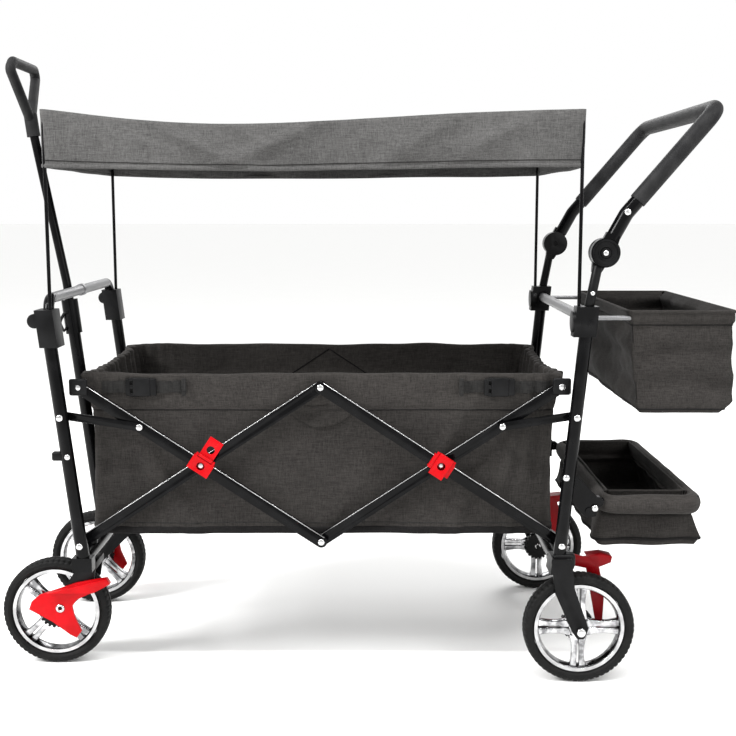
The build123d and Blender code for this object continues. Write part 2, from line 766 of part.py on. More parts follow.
# The grip starts this far along the arm above its bend
grip_split = 0.12
grip_x0 = push_bend[0] + grip_split * (grip_end[0] - push_bend[0])
grip_z0 = push_bend[1] + grip_split * (grip_end[1] - push_bend[1])
push_runs = [
    (arm_start[0], -post_y, arm_start[1]),
    (push_bend[0], -post_y, push_bend[1]),
    (grip_end[0], -post_y, grip_end[1]),
    (grip_end[0], post_y, grip_end[1]),
    (push_bend[0], post_y, push_bend[1]),
    (arm_start[0], post_y, arm_start[1]),
]
push_bar = pipe(push_runs, push_r, push_bend_r)
moving_hub = round_y(hub_x, hub_z, push_hub_r, hub_split - hub_gap, hub_split - push_hub_t)
arm_neck = [
    (hub_x - 12, hub_z + 8),
    (arm_start[0] - 10, arm_start[1] + 12),
    (arm_start[0] + 12, arm_start[1] + 4),
    (hub_x + 17, hub_z + 2),
]
moving_hub += plate(arm_neck, hub_split - hub_gap, hub_split - push_hub_t + 2)
moving_hub += round_y(hub_x, hub_z, hub_pin_r, hub_split - 1, hub_split + push_hub_t - 1)
moving_hub -= round_y(hub_x, hub_z, button_r + hole_gap, hub_split - 6, hub_split - push_hub_t - 5)
moving_hub += mirror(moving_hub, Plane.XZ)
push_bar += moving_hub
save(push_bar, "push_bar")
grip_runs = [
    (grip_x0, -post_y, grip_z0),
    (grip_end[0], -post_y, grip_end[1]),
    (grip_end[0], post_y, grip_end[1]),
    (grip_x0, post_y, grip_z0),
]
foam = rod(grip_runs, grip_r, push_bend_r) - rod(push_runs, push_r + seat_gap, push_bend_r)
save(foam, "push_grip")
button = round_y(hub_x, hub_z, button_r, hub_split - 10, hub_split - push_hub_t - 3)
save_pair(button, "hub_button")


# Pull pole: sleeve on its hinge, collar, sliding rod and loop handle
def pull_x(z):
    return pull_hinge_x - (z - pull_hinge_z) * tan(radians(front_lean))


sleeve_run = [(pull_x(pull_hinge_z), 0, pull_hinge_z), (pull_x(collar_z1 - 2), 0, collar_z1 - 2)]
sleeve = rod(sleeve_run, pull_r) + round_y(pull_hinge_x, pull_hinge_z, pull_hinge_r, -12, 12)
rod_bore = [(pull_x(rod_foot_z - 2), 0, rod_foot_z - 2), (pull_x(collar_z1), 0, collar_z1)]
sleeve -= rod(rod_bore, pull_rod_r + hole_gap)
sleeve -= round_y(pull_hinge_x, pull_hinge_z, pull_pin_r + hole_gap, -20, 20)
collar_run = [(pull_x(collar_z0), 0, collar_z0), (pull_x(collar_z1), 0, collar_z1)]
collar = rod(collar_run, collar_r) - rod(sleeve_run, pull_r - 1)
collar -= rod(
    [(pull_x(collar_z1 - 6), 0, collar_z1 - 6), (pull_x(collar_z1 + 4), 0, collar_z1 + 4)], pull_rod_r + 0.5
)
save(sleeve + collar, "pull_sleeve")
pull_runs = [
    (pull_x(rod_foot_z), 0, rod_foot_z),
    (pull_x(pull_bend_z), 0, pull_bend_z),
    (pull_top[0], 0, pull_top[1]),
]
save(rod(pull_runs, pull_rod_r, pull_bend_r), "pull_rod")
loop_runs = [
    (pull_top[0] - 1, 6, pull_top[1] + 8),
    (loop_top[0] - 1, loop_half_w, loop_top[1] - loop_corner),
    (loop_top[0], loop_half_w - loop_corner, loop_top[1]),
    (loop_top[0], -loop_half_w + loop_corner, loop_top[1]),
    (loop_top[0] - 1, -loop_half_w, loop_top[1] - loop_corner),
    (pull_top[0] - 1, -6, pull_top[1] + 8),
]
loop = rod(loop_runs, loop_r, 8)
loop += rod([(pull_top[0] + 4, 0, pull_top[1] - 26), (pull_top[0] - 1, 0, pull_top[1] + 14)], loop_r + 3)
loop -= rod(pull_runs, pull_rod_r + seat_gap, pull_bend_r)
save(loop, "pull_handle")
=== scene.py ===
import bpy
import bmesh
import json
import math
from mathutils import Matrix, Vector, noise


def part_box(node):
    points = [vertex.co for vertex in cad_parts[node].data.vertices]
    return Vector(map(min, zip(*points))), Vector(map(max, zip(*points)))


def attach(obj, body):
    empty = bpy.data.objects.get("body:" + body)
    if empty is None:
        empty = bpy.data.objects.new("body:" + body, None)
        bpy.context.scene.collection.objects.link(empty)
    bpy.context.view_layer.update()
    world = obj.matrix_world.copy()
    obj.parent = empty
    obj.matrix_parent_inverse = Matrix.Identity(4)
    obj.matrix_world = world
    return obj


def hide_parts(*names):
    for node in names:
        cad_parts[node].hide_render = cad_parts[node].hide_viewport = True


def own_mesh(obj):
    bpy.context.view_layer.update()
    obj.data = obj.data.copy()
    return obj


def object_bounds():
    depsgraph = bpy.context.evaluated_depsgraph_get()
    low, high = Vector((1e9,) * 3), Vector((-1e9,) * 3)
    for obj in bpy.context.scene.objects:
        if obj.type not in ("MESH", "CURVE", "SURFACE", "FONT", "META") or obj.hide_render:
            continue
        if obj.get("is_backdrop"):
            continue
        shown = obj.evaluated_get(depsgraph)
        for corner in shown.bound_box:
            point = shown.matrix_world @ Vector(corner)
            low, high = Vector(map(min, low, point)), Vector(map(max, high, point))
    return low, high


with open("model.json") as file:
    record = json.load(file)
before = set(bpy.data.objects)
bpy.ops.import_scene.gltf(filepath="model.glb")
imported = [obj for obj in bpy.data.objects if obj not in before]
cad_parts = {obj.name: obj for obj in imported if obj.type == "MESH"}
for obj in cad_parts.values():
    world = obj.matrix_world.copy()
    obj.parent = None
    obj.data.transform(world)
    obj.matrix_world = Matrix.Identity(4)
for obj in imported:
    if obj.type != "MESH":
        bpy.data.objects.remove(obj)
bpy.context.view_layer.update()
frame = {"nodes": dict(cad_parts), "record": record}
print("frame loaded:", len(frame["nodes"]), "nodes")

scene = bpy.context.scene

# darkest and lightest colour of each finish
shades = {
    "blackPaint": ((0.0012, 0.0012, 0.0014), (0.0045, 0.0045, 0.005)),
    # the next colour is a painted highlight for the thin line on the bars' upper edges
    "edgeGloss": ((0.22, 0.22, 0.22), (0.52, 0.52, 0.52)),
    "bareTube": ((0.07, 0.07, 0.073), (0.30, 0.30, 0.305)),
    "blackPlastic": ((0.0016, 0.0016, 0.0018), (0.0065, 0.0065, 0.007)),
    "redPlastic": ((0.36, 0.0004, 0.0025), (0.48, 0.001, 0.005)),
    "darkRedPlastic": ((0.15, 0.0004, 0.002), (0.22, 0.001, 0.004)),
    "wheelChrome": ((0.16, 0.16, 0.165), (0.66, 0.66, 0.67)),
    "rimEdge": ((0.32, 0.32, 0.325), (0.50, 0.50, 0.505)),
    # the next colour is painted shade for the inside of the rim's barrel
    "shadedBarrelChrome": ((0.03, 0.03, 0.032), (0.30, 0.30, 0.305)),
    "tyreRubber": ((0.0035, 0.0035, 0.0035), (0.010, 0.0098, 0.0095)),
    "gripFoam": ((0.0055, 0.0055, 0.006), (0.017, 0.017, 0.0175)),
    "rivetSteel": ((0.42, 0.42, 0.42), (0.62, 0.62, 0.62)),
    "basketCloth": ((0.0085, 0.0078, 0.0074), (0.037, 0.034, 0.0315)),
    "rimCloth": ((0.011, 0.0101, 0.0095), (0.046, 0.042, 0.039)),
    "bindingCloth": ((0.003, 0.003, 0.003), (0.013, 0.012, 0.012)),
    "canopyCloth": ((0.030, 0.0295, 0.029), (0.100, 0.098, 0.096)),
    "webbing": ((0.006, 0.006, 0.006), (0.026, 0.025, 0.024)),
    "floorPaper": ((0.94, 0.94, 0.93), (0.96, 0.96, 0.95)),
}
weaves = {  # threads in a metre, and the strength of the sheen
    "basketCloth": (700, 0.03), "rimCloth": (700, 0.03), "bindingCloth": (800, 0.02),
    "canopyCloth": (620, 0.05), "webbing": (420, 0.04),
}
plastics = {  # roughness and specular level
    "blackPlastic": (0.36, 0.13), "redPlastic": (0.30, 0.12), "darkRedPlastic": (0.34, 0.12),
}
finishes = {}


class Sock:
    # wraps a socket so shader maths reads as plain expressions
    def __init__(self, finish, out):
        self.finish = finish
        self.out = out

    def math(self, operation, other, swap=False):
        pair = (other, self) if swap else (self, other)
        return self.finish.add("ShaderNodeMath", {"operation": operation}, dict(enumerate(pair)))

    def __add__(self, other): return self.math("ADD", other)
    def __radd__(self, other): return self.math("ADD", other, True)
    def __sub__(self, other): return self.math("SUBTRACT", other)
    def __rsub__(self, other): return self.math("SUBTRACT", other, True)
    def __mul__(self, other): return self.math("MULTIPLY", other)
    def __rmul__(self, other): return self.math("MULTIPLY", other, True)


class Finish:
    def __init__(self, name):
        self.material = bpy.data.materials.new(name)
        self.material.use_nodes = True
        self.tree = self.material.node_tree
        self.shader = self.tree.nodes["Principled BSDF"]
        self.place = self.add("ShaderNodeTexCoord", {}, {}, "Object")
        self.dark, self.light = shades[name]
        finishes[name] = self.material

    # node type, settings set first, socket values or links, and the output wanted
    def add(self, kind, settings, sockets, output=0):
        node = self.tree.nodes.new(kind)
        for key, value in settings.items():
            setattr(node, key, value)
        for key, value in sockets.items():
            self.feed(node.inputs[key], value)
        return Sock(self, node.outputs[output])

    def feed(self, socket, value):
        if isinstance(value, Sock):
            self.tree.links.new(value.out, socket)
        elif socket.type == "RGBA":
            socket.default_value = (*value, 1)
        else:
            socket.default_value = value

    def set(self, **values):
        names = {"color": "Base Color", "rough": "Roughness", "metal": "Metallic", "sheen": "Sheen Weight",
                 "sheenRough": "Sheen Roughness", "normal": "Normal", "specular": "Specular IOR Level"}
        for key, value in values.items():
            self.feed(self.shader.inputs[names[key]], value)

    def grain(self, scale, detail=3, rough=0.5, where=None):
        sockets = {"Vector": where or self.place, "Scale": scale, "Detail": detail, "Roughness": rough}
        return self.add("ShaderNodeTexNoise", {}, sockets)

    def stretch(self, x, y, z):
        return self.add("ShaderNodeVectorMath", {"operation": "MULTIPLY"}, {0: self.place, 1: (x, y, z)})

    def shade(self, mask):
        return self.add("ShaderNodeMix", {"data_type": "RGBA"}, {0: mask, 6: self.dark, 7: self.light}, 2)

    def spread(self, mask, low, high):
        return self.add("ShaderNodeMapRange", {}, {"Value": mask, "From Min": low, "From Max": high})

    def bump(self, height, depth, strength):
        return self.add("ShaderNodeBump", {}, {"Height": height, "Distance": depth, "Strength": strength})


def paintFinish(name):
    f = Finish(name)
    peel = f.grain(700, 2)
    dust = f.spread(f.grain(30, 4), 0.45, 0.8)
    f.set(color=f.shade(dust), rough=0.15 + dust * 0.14, specular=0.10, normal=f.bump(peel, 0.0001, 0.08))


# painted highlight: bright metal for the thin tubes along the bars' upper edges
def edgeFinish(name):
    f = Finish(name)
    highlightMottle = f.grain(1, 3, 0.6, f.stretch(40, 40, 40))
    f.set(color=f.shade(highlightMottle), rough=0.24 + highlightMottle * 0.1, metal=1.0)


def tubeFinish(name):
    f = Finish(name)
    brush = f.grain(1, 4, 0.6, f.stretch(600, 60, 600))
    f.set(color=f.shade(brush), rough=0.26 + brush * 0.22, metal=0.85, normal=f.bump(brush, 0.0001, 0.3))


def plasticFinish(name):
    rough, specular = plastics[name]
    f = Finish(name)
    sparkle = f.grain(1400, 2)
    wear = f.spread(f.grain(24, 4), 0.4, 0.75)
    f.set(color=f.shade(wear), rough=rough + wear * 0.12, specular=specular,
          normal=f.bump(sparkle, 0.0002, 0.35))


def chromeFinish(name):
    f = Finish(name)
    band = f.spread(f.grain(1, 3, 0.6, f.stretch(46, 20, 46)), 0.38, 0.62)
    f.set(color=f.shade(band), rough=0.07 + band * 0.10, metal=1.0, normal=f.bump(f.grain(30, 2), 0.004, 0.5))


def tyreFinish(name):
    f = Finish(name)
    dust = f.spread(f.grain(50, 5, 0.7), 0.45, 0.75)
    f.set(color=f.shade(dust), rough=0.55 + dust * 0.2, specular=0.12,
          normal=f.bump(f.grain(900, 3), 0.0004, 0.5))


def foamFinish(name):
    f = Finish(name)
    cells = f.add("ShaderNodeTexVoronoi", {}, {"Vector": f.place, "Scale": 700.0})
    tone = f.spread(f.grain(30, 3), 0.35, 0.7)
    f.set(color=f.shade(tone), rough=0.46 + cells * 0.2, specular=0.14, normal=f.bump(cells, 0.0005, 0.6))


def steelFinish(name):
    f = Finish(name)
    haze = f.grain(300, 2)
    f.set(color=f.shade(haze), rough=0.16 + haze * 0.12, metal=1.0)


def clothFinish(name):
    thread, sheen = weaves[name]
    f = Finish(name)
    slubWarp = f.grain(1, 5, 0.75, f.stretch(thread, thread, 60))
    slubWeft = f.grain(1, 5, 0.75, f.stretch(60, 60, thread))
    fleck = f.grain(thread * 1.4, 3)
    cloud = f.grain(9, 3)
    weave = slubWarp * 0.5 + slubWeft * 0.5
    melange = f.spread(weave * 0.8 + fleck * 0.2 + cloud * 0.12, 0.44, 0.70)
    f.set(color=f.shade(melange), rough=0.78 + f.grain(60) * 0.18, sheen=sheen, sheenRough=0.5, specular=0.08,
          normal=f.bump(weave + fleck * 0.3, 0.0005, 0.5))


def paperFinish(name):
    f = Finish(name)
    f.set(color=f.shade(f.grain(3)), rough=0.8)


paintFinish("blackPaint")
edgeFinish("edgeGloss")
tubeFinish("bareTube")
for name in plastics:
    plasticFinish(name)
for name in ("wheelChrome", "rimEdge", "shadedBarrelChrome"):
    chromeFinish(name)
tyreFinish("tyreRubber")
foamFinish("gripFoam")
steelFinish("rivetSteel")
for name in weaves:
    clothFinish(name)
paperFinish("floorPaper")

slotFinish = {
    "black_metal": "blackPaint", "steel_grey": "bareTube", "black_plastic": "blackPlastic",
    "red_plastic": "redPlastic", "chrome": "wheelChrome", "tyre": "tyreRubber", "basket_cloth": "basketCloth",
    "canopy_cloth": "canopyCloth", "foam": "gripFoam", "board": "rimCloth", "silver_button": "rivetSteel",
}
for part in frame["record"]["subparts"]:
    finish = finishes[slotFinish[part["material_slot"]]]
    if part["node"].startswith("rear_brake"):
        finish = finishes["darkRedPlastic"]
    for holder in frame["nodes"][part["node"]].material_slots:
        holder.link = "OBJECT"
        holder.material = finish
print("finishes made:", len(finishes))


def addPiece(name, verts, faces, finish, smooth=True):
    mesh = bpy.data.meshes.new(name)
    mesh.from_pydata([tuple(v) for v in verts], [], faces)
    mesh.update()
    piece = bpy.data.objects.new(name, mesh)
    scene.collection.objects.link(piece)
    mesh.materials.append(finishes[finish])
    tool = bmesh.new()
    tool.from_mesh(mesh)
    bmesh.ops.recalc_face_normals(tool, faces=tool.faces)
    tool.to_mesh(mesh)
    tool.free()
    for face in mesh.polygons:
        face.use_smooth = smooth
    return piece


def applyAll(piece):
    # bakes every modifier into the mesh
    bpy.context.view_layer.update()
    shape = piece.evaluated_get(bpy.context.evaluated_depsgraph_get())
    made = bpy.data.meshes.new_from_object(shape)
    piece.modifiers.clear()
    piece.data = made


def smoothTo(piece, degrees=None):
    # smooth faces, with a crease wherever they meet at more than this angle
    for face in piece.data.polygons:
        face.use_smooth = True
    if degrees is not None:
        piece.data.set_sharp_from_angle(angle=math.radians(degrees))


def bevelEdges(piece, width, segments=3, degrees=30):
    bevel = piece.modifiers.new("edge", "BEVEL")
    bevel.width = width
    bevel.segments = segments
    bevel.limit_method = "ANGLE"
    bevel.angle_limit = math.radians(degrees)
    applyAll(piece)


def thicken(piece, thick):
    cloth = piece.modifiers.new("cloth", "SOLIDIFY")
    cloth.thickness = thick
    cloth.offset = -1
    applyAll(piece)
    smoothTo(piece)


def roundedLoop(x0, x1, halfWidth, radius, step):
    # points round a rectangle with round corners, with their outward directions
    loop = []
    corners = [(x1 - radius, -halfWidth + radius, -90), (x1 - radius, halfWidth - radius, 0),
               (x0 + radius, halfWidth - radius, 90), (x0 + radius, -halfWidth + radius, 180)]
    for index, (cx, cy, start) in enumerate(corners):
        turns = max(4, int(radius * math.pi / 2 / step))
        for k in range(turns + 1):
            angle = math.radians(start + 90 * k / turns)
            out = Vector((math.cos(angle), math.sin(angle)))
            loop.append((Vector((cx, cy)) + out * radius, out))
        last, out = loop[-1]
        nx, ny, nextStart = corners[(index + 1) % 4]
        angle = math.radians(nextStart)
        goal = Vector((nx, ny)) + Vector((math.cos(angle), math.sin(angle))) * radius
        count = max(2, int((goal - last).length / step))
        for k in range(1, count):
            loop.append((last.lerp(goal, k / count), out))
    return loop


def ringFaces(rows, count):
    # the faces between closed rings that follow each other
    return [(row * count + k, row * count + (k + 1) % count,
             (row + 1) * count + (k + 1) % count, (row + 1) * count + k)
            for row in range(rows - 1) for k in range(count)]


def ringCap(row, count):
    return tuple(row * count + k for k in range(count))


def tubeAlong(points, radius, sides, closed=False, squashed=1.0):
    # a round tube through points, as vertices and faces
    verts, faces = [], []
    count = len(points)
    up = Vector((0, 0, 1))
    for i, point in enumerate(points):
        before = points[i - 1] if i or closed else points[i]
        after = points[(i + 1) % count] if i < count - 1 or closed else points[i]
        along = (Vector(after) - Vector(before)).normalized()
        side = along.cross(up)
        if side.length < 0.05:
            side = along.cross(Vector((1, 0, 0)))
        side.normalize()
        lift = side.cross(along).normalized()
        for k in range(sides):
            a = 2 * math.pi * k / sides
            r = radius(i / max(1, count - 1)) if callable(radius) else radius
            verts.append(Vector(point) + side * math.cos(a) * r * squashed + lift * math.sin(a) * r)
    for i in range(count if closed else count - 1):
        j = (i + 1) % count
        for k in range(sides):
            m = (k + 1) % sides
            faces.append((i * sides + k, i * sides + m, j * sides + m, j * sides + k))
    if not closed:
        faces += [ringCap(0, sides), ringCap(count - 1, sides)]
    return verts, faces


def addTube(name, line, radius, finish, sides=8, closed=False, squashed=1.0):
    verts, faces = tubeAlong(line, radius, sides, closed, squashed)
    return addPiece(name, verts, faces, finish)


def lathe(name, profile, centre, finish, turns, shape=None):
    # turns (radius, offset) pairs round a Y axis through centre
    verts, faces = [], []
    rows = len(profile)
    for t in range(turns):
        a = 2 * math.pi * t / turns
        for r, off in profile:
            if shape:
                r = shape(r, off, t)
            verts.append((centre[0] + r * math.cos(a), centre[1] + off, centre[2] + r * math.sin(a)))
    for t in range(turns):
        n = (t + 1) % turns
        for row in range(rows):
            m = (row + 1) % rows
            faces.append((t * rows + row, t * rows + m, n * rows + m, n * rows + row))
    return addPiece(name, verts, faces, finish)


def dome(radius, height, sides=20, rings=5):
    # a rivet head on the XZ plane that stands towards -Y
    verts = []
    for i in range(rings):
        a = math.pi / 2 * i / rings
        for k in range(sides):
            b = 2 * math.pi * k / sides
            verts.append(Vector((radius * math.cos(a) * math.cos(b), -height * math.sin(a),
                                 radius * math.cos(a) * math.sin(b))))
    verts.append(Vector((0, -height, 0)))
    faces = ringFaces(rings, sides)
    for k in range(sides):
        faces.append(((rings - 1) * sides + k, (rings - 1) * sides + (k + 1) % sides, rings * sides))
    faces.append(ringCap(0, sides))
    return verts, faces


def addDome(name, centre, radius, height, hand):
    # a single head whose top points towards the given hand's side
    points, sides = dome(radius, height)
    verts = [(centre[0] + p.x, centre[1] + hand * abs(p.y), centre[2] + p.z) for p in points]
    return addPiece(name, verts, sides, "rivetSteel")


def addBlock(name, low, high, edge, finish):
    verts = [(x, y, z) for x in (low[0], high[0]) for y in (low[1], high[1]) for z in (low[2], high[2])]
    faces = [(0, 1, 3, 2), (4, 6, 7, 5), (0, 4, 5, 1), (2, 3, 7, 6), (0, 2, 6, 4), (1, 5, 7, 3)]
    piece = addPiece(name, verts, faces, finish)
    bevelEdges(piece, edge)
    smoothTo(piece, 60)
    return piece


def joinPieces(name, parts):
    # one piece from several, with each part's own finish kept
    tool = bmesh.new()
    materials = []
    for part in parts:
        for material in part.data.materials:
            if material not in materials:
                materials.append(material)
    for part in parts:
        start = len(tool.faces)
        tool.from_mesh(part.data)
        tool.faces.ensure_lookup_table()
        for face in tool.faces[start:]:
            face.material_index = materials.index(part.data.materials[0])
    mesh = bpy.data.meshes.new(name)
    tool.to_mesh(mesh)
    tool.free()
    for material in materials:
        mesh.materials.append(material)
    for part in parts:
        bpy.data.objects.remove(part)
    piece = bpy.data.objects.new(name, mesh)
    scene.collection.objects.link(piece)
    return piece


def wrinkle(point, scale, depth, seed):
    return noise.noise(Vector(point) * scale + Vector((seed, seed * 1.7, -seed))) * depth


def hump(distance, width):
    return math.exp(-(distance / width) ** 2)


camera = {"place": (0.0153, -2.142, 0.805), "pitch": 7.88, "lens": 56.25}
studio = {"reach": 60, "air": 1.0, "aim": (0, 0, 0.5)}
softLights = {"keyLight": {"place": (-3.0, -1.7, 2.6), "size": 1.2, "power": 140},
              "fillLight": {"place": (2.4, -2.2, 1.8), "size": 2.0, "power": 30},
              "rimLight": {"place": (0.4, 2.6, 2.6), "size": 2.0, "power": 50}}
stripLight = {"place": (0, -1.25, 3.0), "length": 7.0, "width": 0.10, "tilt": 12, "power": 160}

eye = bpy.data.cameras.new("camera")
eye.lens = camera["lens"]
eyePiece = bpy.data.objects.new("camera", eye)
eyePiece.location = camera["place"]
eyePiece.rotation_euler = (math.radians(90 - camera["pitch"]), 0, 0)
scene.collection.objects.link(eyePiece)
scene.camera = eyePiece
scene.view_settings.view_transform = "Standard"

reach = studio["reach"]
floor = addPiece("floor", [(-reach, -reach, 0), (reach, -reach, 0), (reach, reach, 0), (-reach, reach, 0)],
                 [(0, 1, 2, 3)], "floorPaper", False)
floor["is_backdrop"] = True

world = bpy.data.worlds.new("studioAir")
world.use_nodes = True
world.node_tree.nodes["Background"].inputs[0].default_value = (1, 1, 1, 1)
world.node_tree.nodes["Background"].inputs[1].default_value = studio["air"]
scene.world = world
for name, light in softLights.items():
    lamp = bpy.data.lights.new(name, "AREA")
    lamp.energy = light["power"]
    lamp.size = light["size"]
    lampPiece = bpy.data.objects.new(name, lamp)
    lampPiece.location = light["place"]
    ahead = Vector(studio["aim"]) - Vector(light["place"])
    lampPiece.rotation_euler = ahead.to_track_quat("-Z", "Y").to_euler()
    scene.collection.objects.link(lampPiece)
# a thin strip above the near side draws a bright line on every painted edge
strip = bpy.data.lights.new("stripLight", "AREA")
strip.shape = "RECTANGLE"
strip.size, strip.size_y = stripLight["length"], stripLight["width"]
strip.energy = stripLight["power"]
stripPiece = bpy.data.objects.new("stripLight", strip)
stripPiece.location = stripLight["place"]
stripPiece.rotation_euler = (math.radians(stripLight["tilt"]), 0, 0)
scene.collection.objects.link(stripPiece)
print("camera and studio ready")

# places taken from the frame
hands = (("left", -1), ("right", 1))
bodyOf = {node: body for body, nodes in frame["record"]["behaviour"]["bodies"].items() for node in nodes}
halfBar = 0.010  # half the width of a flat bar, and how far its pivots are from its ends
barStep = 0.008  # how far an inner bar lies inside its outer bar
barLow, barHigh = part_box("front_inner_bar_left")
rearBarLow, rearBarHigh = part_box("rear_inner_bar_left")
pivotZ, topZ = barLow.z + halfBar, barHigh.z - halfBar
frontX, middleX, rearX = barLow.x + halfBar, barHigh.x - halfBar, rearBarHigh.x - halfBar
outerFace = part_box("front_outer_bar_left")[0].y


def fold(piece):
    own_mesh(piece)


# width of the rounded edge on each kind of hard part
edges = {"bar": 0.0024, "link": 0.0008, "lever": 0.0018, "latch": 0.0009, "cast": 0.0016, "clamp": 0.0050,
         "foam": 0.0012}
pairedEdges = {"front_outer_bar": "bar", "front_inner_bar": "bar", "rear_outer_bar": "bar",
               "rear_inner_bar": "bar", "front_brake": "lever", "rear_brake": "lever",
               "front_latch_flap": "latch", "rear_latch_flap": "latch", "caster_fork": "cast", "rear_arm": "cast"}
singleEdges = {"front_links": "link", "rear_links": "link", "front_latch_bases": "latch",
               "rear_latch_bases": "latch", "front_clamps": "clamp", "rear_clamps": "clamp", "push_hubs": "cast"}


def roundEdges(node, kind):
    mesh = frame["nodes"][node].data.copy()
    mesh.name = node + "Round"
    piece = bpy.data.objects.new(node + "Round", mesh)
    scene.collection.objects.link(piece)
    for holder, source in zip(piece.material_slots, frame["nodes"][node].material_slots):
        holder.link = "DATA"
        mesh.materials[holder.slot_index] = source.material
    tool = bmesh.new()
    tool.from_mesh(mesh)
    bmesh.ops.remove_doubles(tool, verts=tool.verts, dist=0.00002)
    bmesh.ops.dissolve_limit(tool, angle_limit=math.radians(1), verts=tool.verts, edges=tool.edges)
    tool.to_mesh(mesh)
    tool.free()
    bevelEdges(piece, edges[kind], 2, 40)
    smoothTo(piece, 32)
    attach(piece, bodyOf[node])
    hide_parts(node)
    return piece


for side, hand in hands:
    for node, kind in pairedEdges.items():
        roundEdges(f"{node}_{side}", kind)
for node, kind in singleEdges.items():
    roundEdges(node, kind)
# the cross tube's elbows are painted black, its straight middle stays bare
elbowStart = 0.186
crossTube = roundEdges("front_cross_tube", "link")
crossTube.data.materials.append(finishes["blackPaint"])
for face in crossTube.data.polygons:
    if abs(face.center.y) > elbowStart:
        face.material_index = 1

# a thin bright tube along the upper outer edge of each flat bar, from end to end, is a painted highlight of that
# edge
highlightTube = {"radius": 0.0008, "inFromFace": 0.0006, "underEdge": 0.0007, "steps": 6}
barEnds = {"front_outer_bar": ((frontX, topZ), (middleX, pivotZ)),
           "rear_outer_bar": ((middleX, topZ), (rearX, pivotZ)),
           "front_inner_bar": ((frontX, pivotZ), (middleX, topZ)),
           "rear_inner_bar": ((middleX, pivotZ), (rearX, topZ))}
for side, hand in hands:
    for bar, (start, end) in barEnds.items():
        low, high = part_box(f"{bar}_{side}")
        face = max(abs(low.y), abs(high.y)) - highlightTube["inFromFace"]
        along = Vector((end[0] - start[0], end[1] - start[1])).normalized()
        up = Vector((-along.y, along.x)) * (high.z - max(start[1], end[1]) - highlightTube["underEdge"])
        if up.y < 0:
            up = -up
        steps = [Vector(start).lerp(Vector(end), k / highlightTube["steps"]) for k in range(highlightTube["steps"] + 1)]
        line = [Vector((x + up.x, hand * face, z + up.y)) for x, z in steps]
        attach(addTube(bar + "Edge_" + side, line, highlightTube["radius"], "edgeGloss"), bar + "s")
print("hard parts rounded")

rivet = {"radius": 0.0058, "height": 0.0024, "proud": 0.0001, "linkInset": 0.007}


def addRivets(name, body, places, radius=rivet["radius"]):
    # bright heads at (x, y, z) on the outer faces of both sides
    verts, faces = [], []
    for x, y, z in places:
        for hand in (1, -1):
            points, sides = dome(radius, rivet["height"])
            start = len(verts)
            verts += [(x + p.x, hand * (y + p.y), z + p.z) for p in points]
            faces += [tuple(start + k for k in face) for face in sides]
    piece = addPiece(name, verts, faces, "rivetSteel")
    smoothTo(piece, 50)
    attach(piece, body)


headY = outerFace - rivet["proud"]
crossZ = (pivotZ + topZ) / 2
frontCrossX, rearCrossX = (frontX + middleX) / 2, (rearX + middleX) / 2
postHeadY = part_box("front_post_left")[0].y
linkLow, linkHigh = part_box("front_links")
rearLinkLow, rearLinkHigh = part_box("rear_links")
inset = rivet["linkInset"]
addRivets("frontOuterRivets", "front_outer_bars", [(frontCrossX, headY, crossZ), (middleX, headY, pivotZ),
                                                   (frontX, headY, topZ)])
addRivets("rearOuterRivets", "rear_outer_bars", [(middleX, headY, topZ), (rearCrossX, headY, crossZ)])
addRivets("frontPostRivets", "front_frame", [(frontX, postHeadY, pivotZ),
                                             (linkLow.x + inset, postHeadY, linkHigh.z - inset)])
addRivets("rearPostRivets", "rear_frame", [(rearX, postHeadY, pivotZ),
                                           (rearLinkHigh.x - inset, postHeadY, rearLinkHigh.z - inset)])
addRivets("frontLinkRivets", "front_links", [(linkHigh.x - inset, linkLow.y, linkLow.z + inset)])
addRivets("rearLinkRivets", "rear_links", [(rearLinkLow.x + inset, rearLinkLow.y, rearLinkLow.z + inset)])
print("rivets set")

tyre = {"lugs": 60, "lugDepth": 0.0016, "turns": 240, "shoulderDepth": 0.0062, "shoulderShare": 0.3,
        # inset from the tread and share of half the width, from the bead to the groove in the middle
        "section": ((0.0166, 0.64), (0.0150, 0.83), (0.0125, 0.93), (0.0105, 0.985), (0.0095, 0.955),
                    (0.0060, 0.94), (0.0038, 0.90), (0.0020, 0.80), (0.0008, 0.62), (0.0001, 0.42), (0.0, 0.16),
                    (0.0016, 0.11))}
rim = {"spokes": 4, "lip": 0.0068, "half": 0.0128, "frontTurn": 45, "rearTurn": 0, "spokeThick": 0.014,
       "spokeEdge": 0.0020, "intoBarrel": 0.001, "dullBelow": 0.0008,
       # depth under the rim's edge and distance in from its side
       "section": ((0.0002, 0.0014), (0.0012, 0.0), (0.0068, 0.0), (0.0080, 0.0014), (0.0090, 0.0050),
                   (0.0106, 0.0090)),
       # one half of a double spoke: distance from the axle and from the slot's middle line
       "slotSide": ((0.012, 0.0), (0.028, 0.0002), (0.034, 0.0016)), "spokeEnd": (0.0020, 0.0140),
       "outerSide": ((0.058, 0.0120), (0.046, 0.0108), (0.034, 0.0112), (0.024, 0.0128), (0.014, 0.0150)),
       "hub": ((0.0045, 0.0125), (0.013, 0.0125), (0.0162, 0.0110), (0.0172, 0.0085))}
brakeRing = {"teeth": 20, "root": 0.0246, "tip": 0.0280, "inner": 0.0085,
             "toothParts": ((0.0, "root"), (0.30, "root"), (0.40, "tip"), (0.85, "tip"))}
axleBolt = {"radius": 0.0065, "height": 0.003}


def mirrored(side):
    return side + [(r, -off) for r, off in reversed(side)]


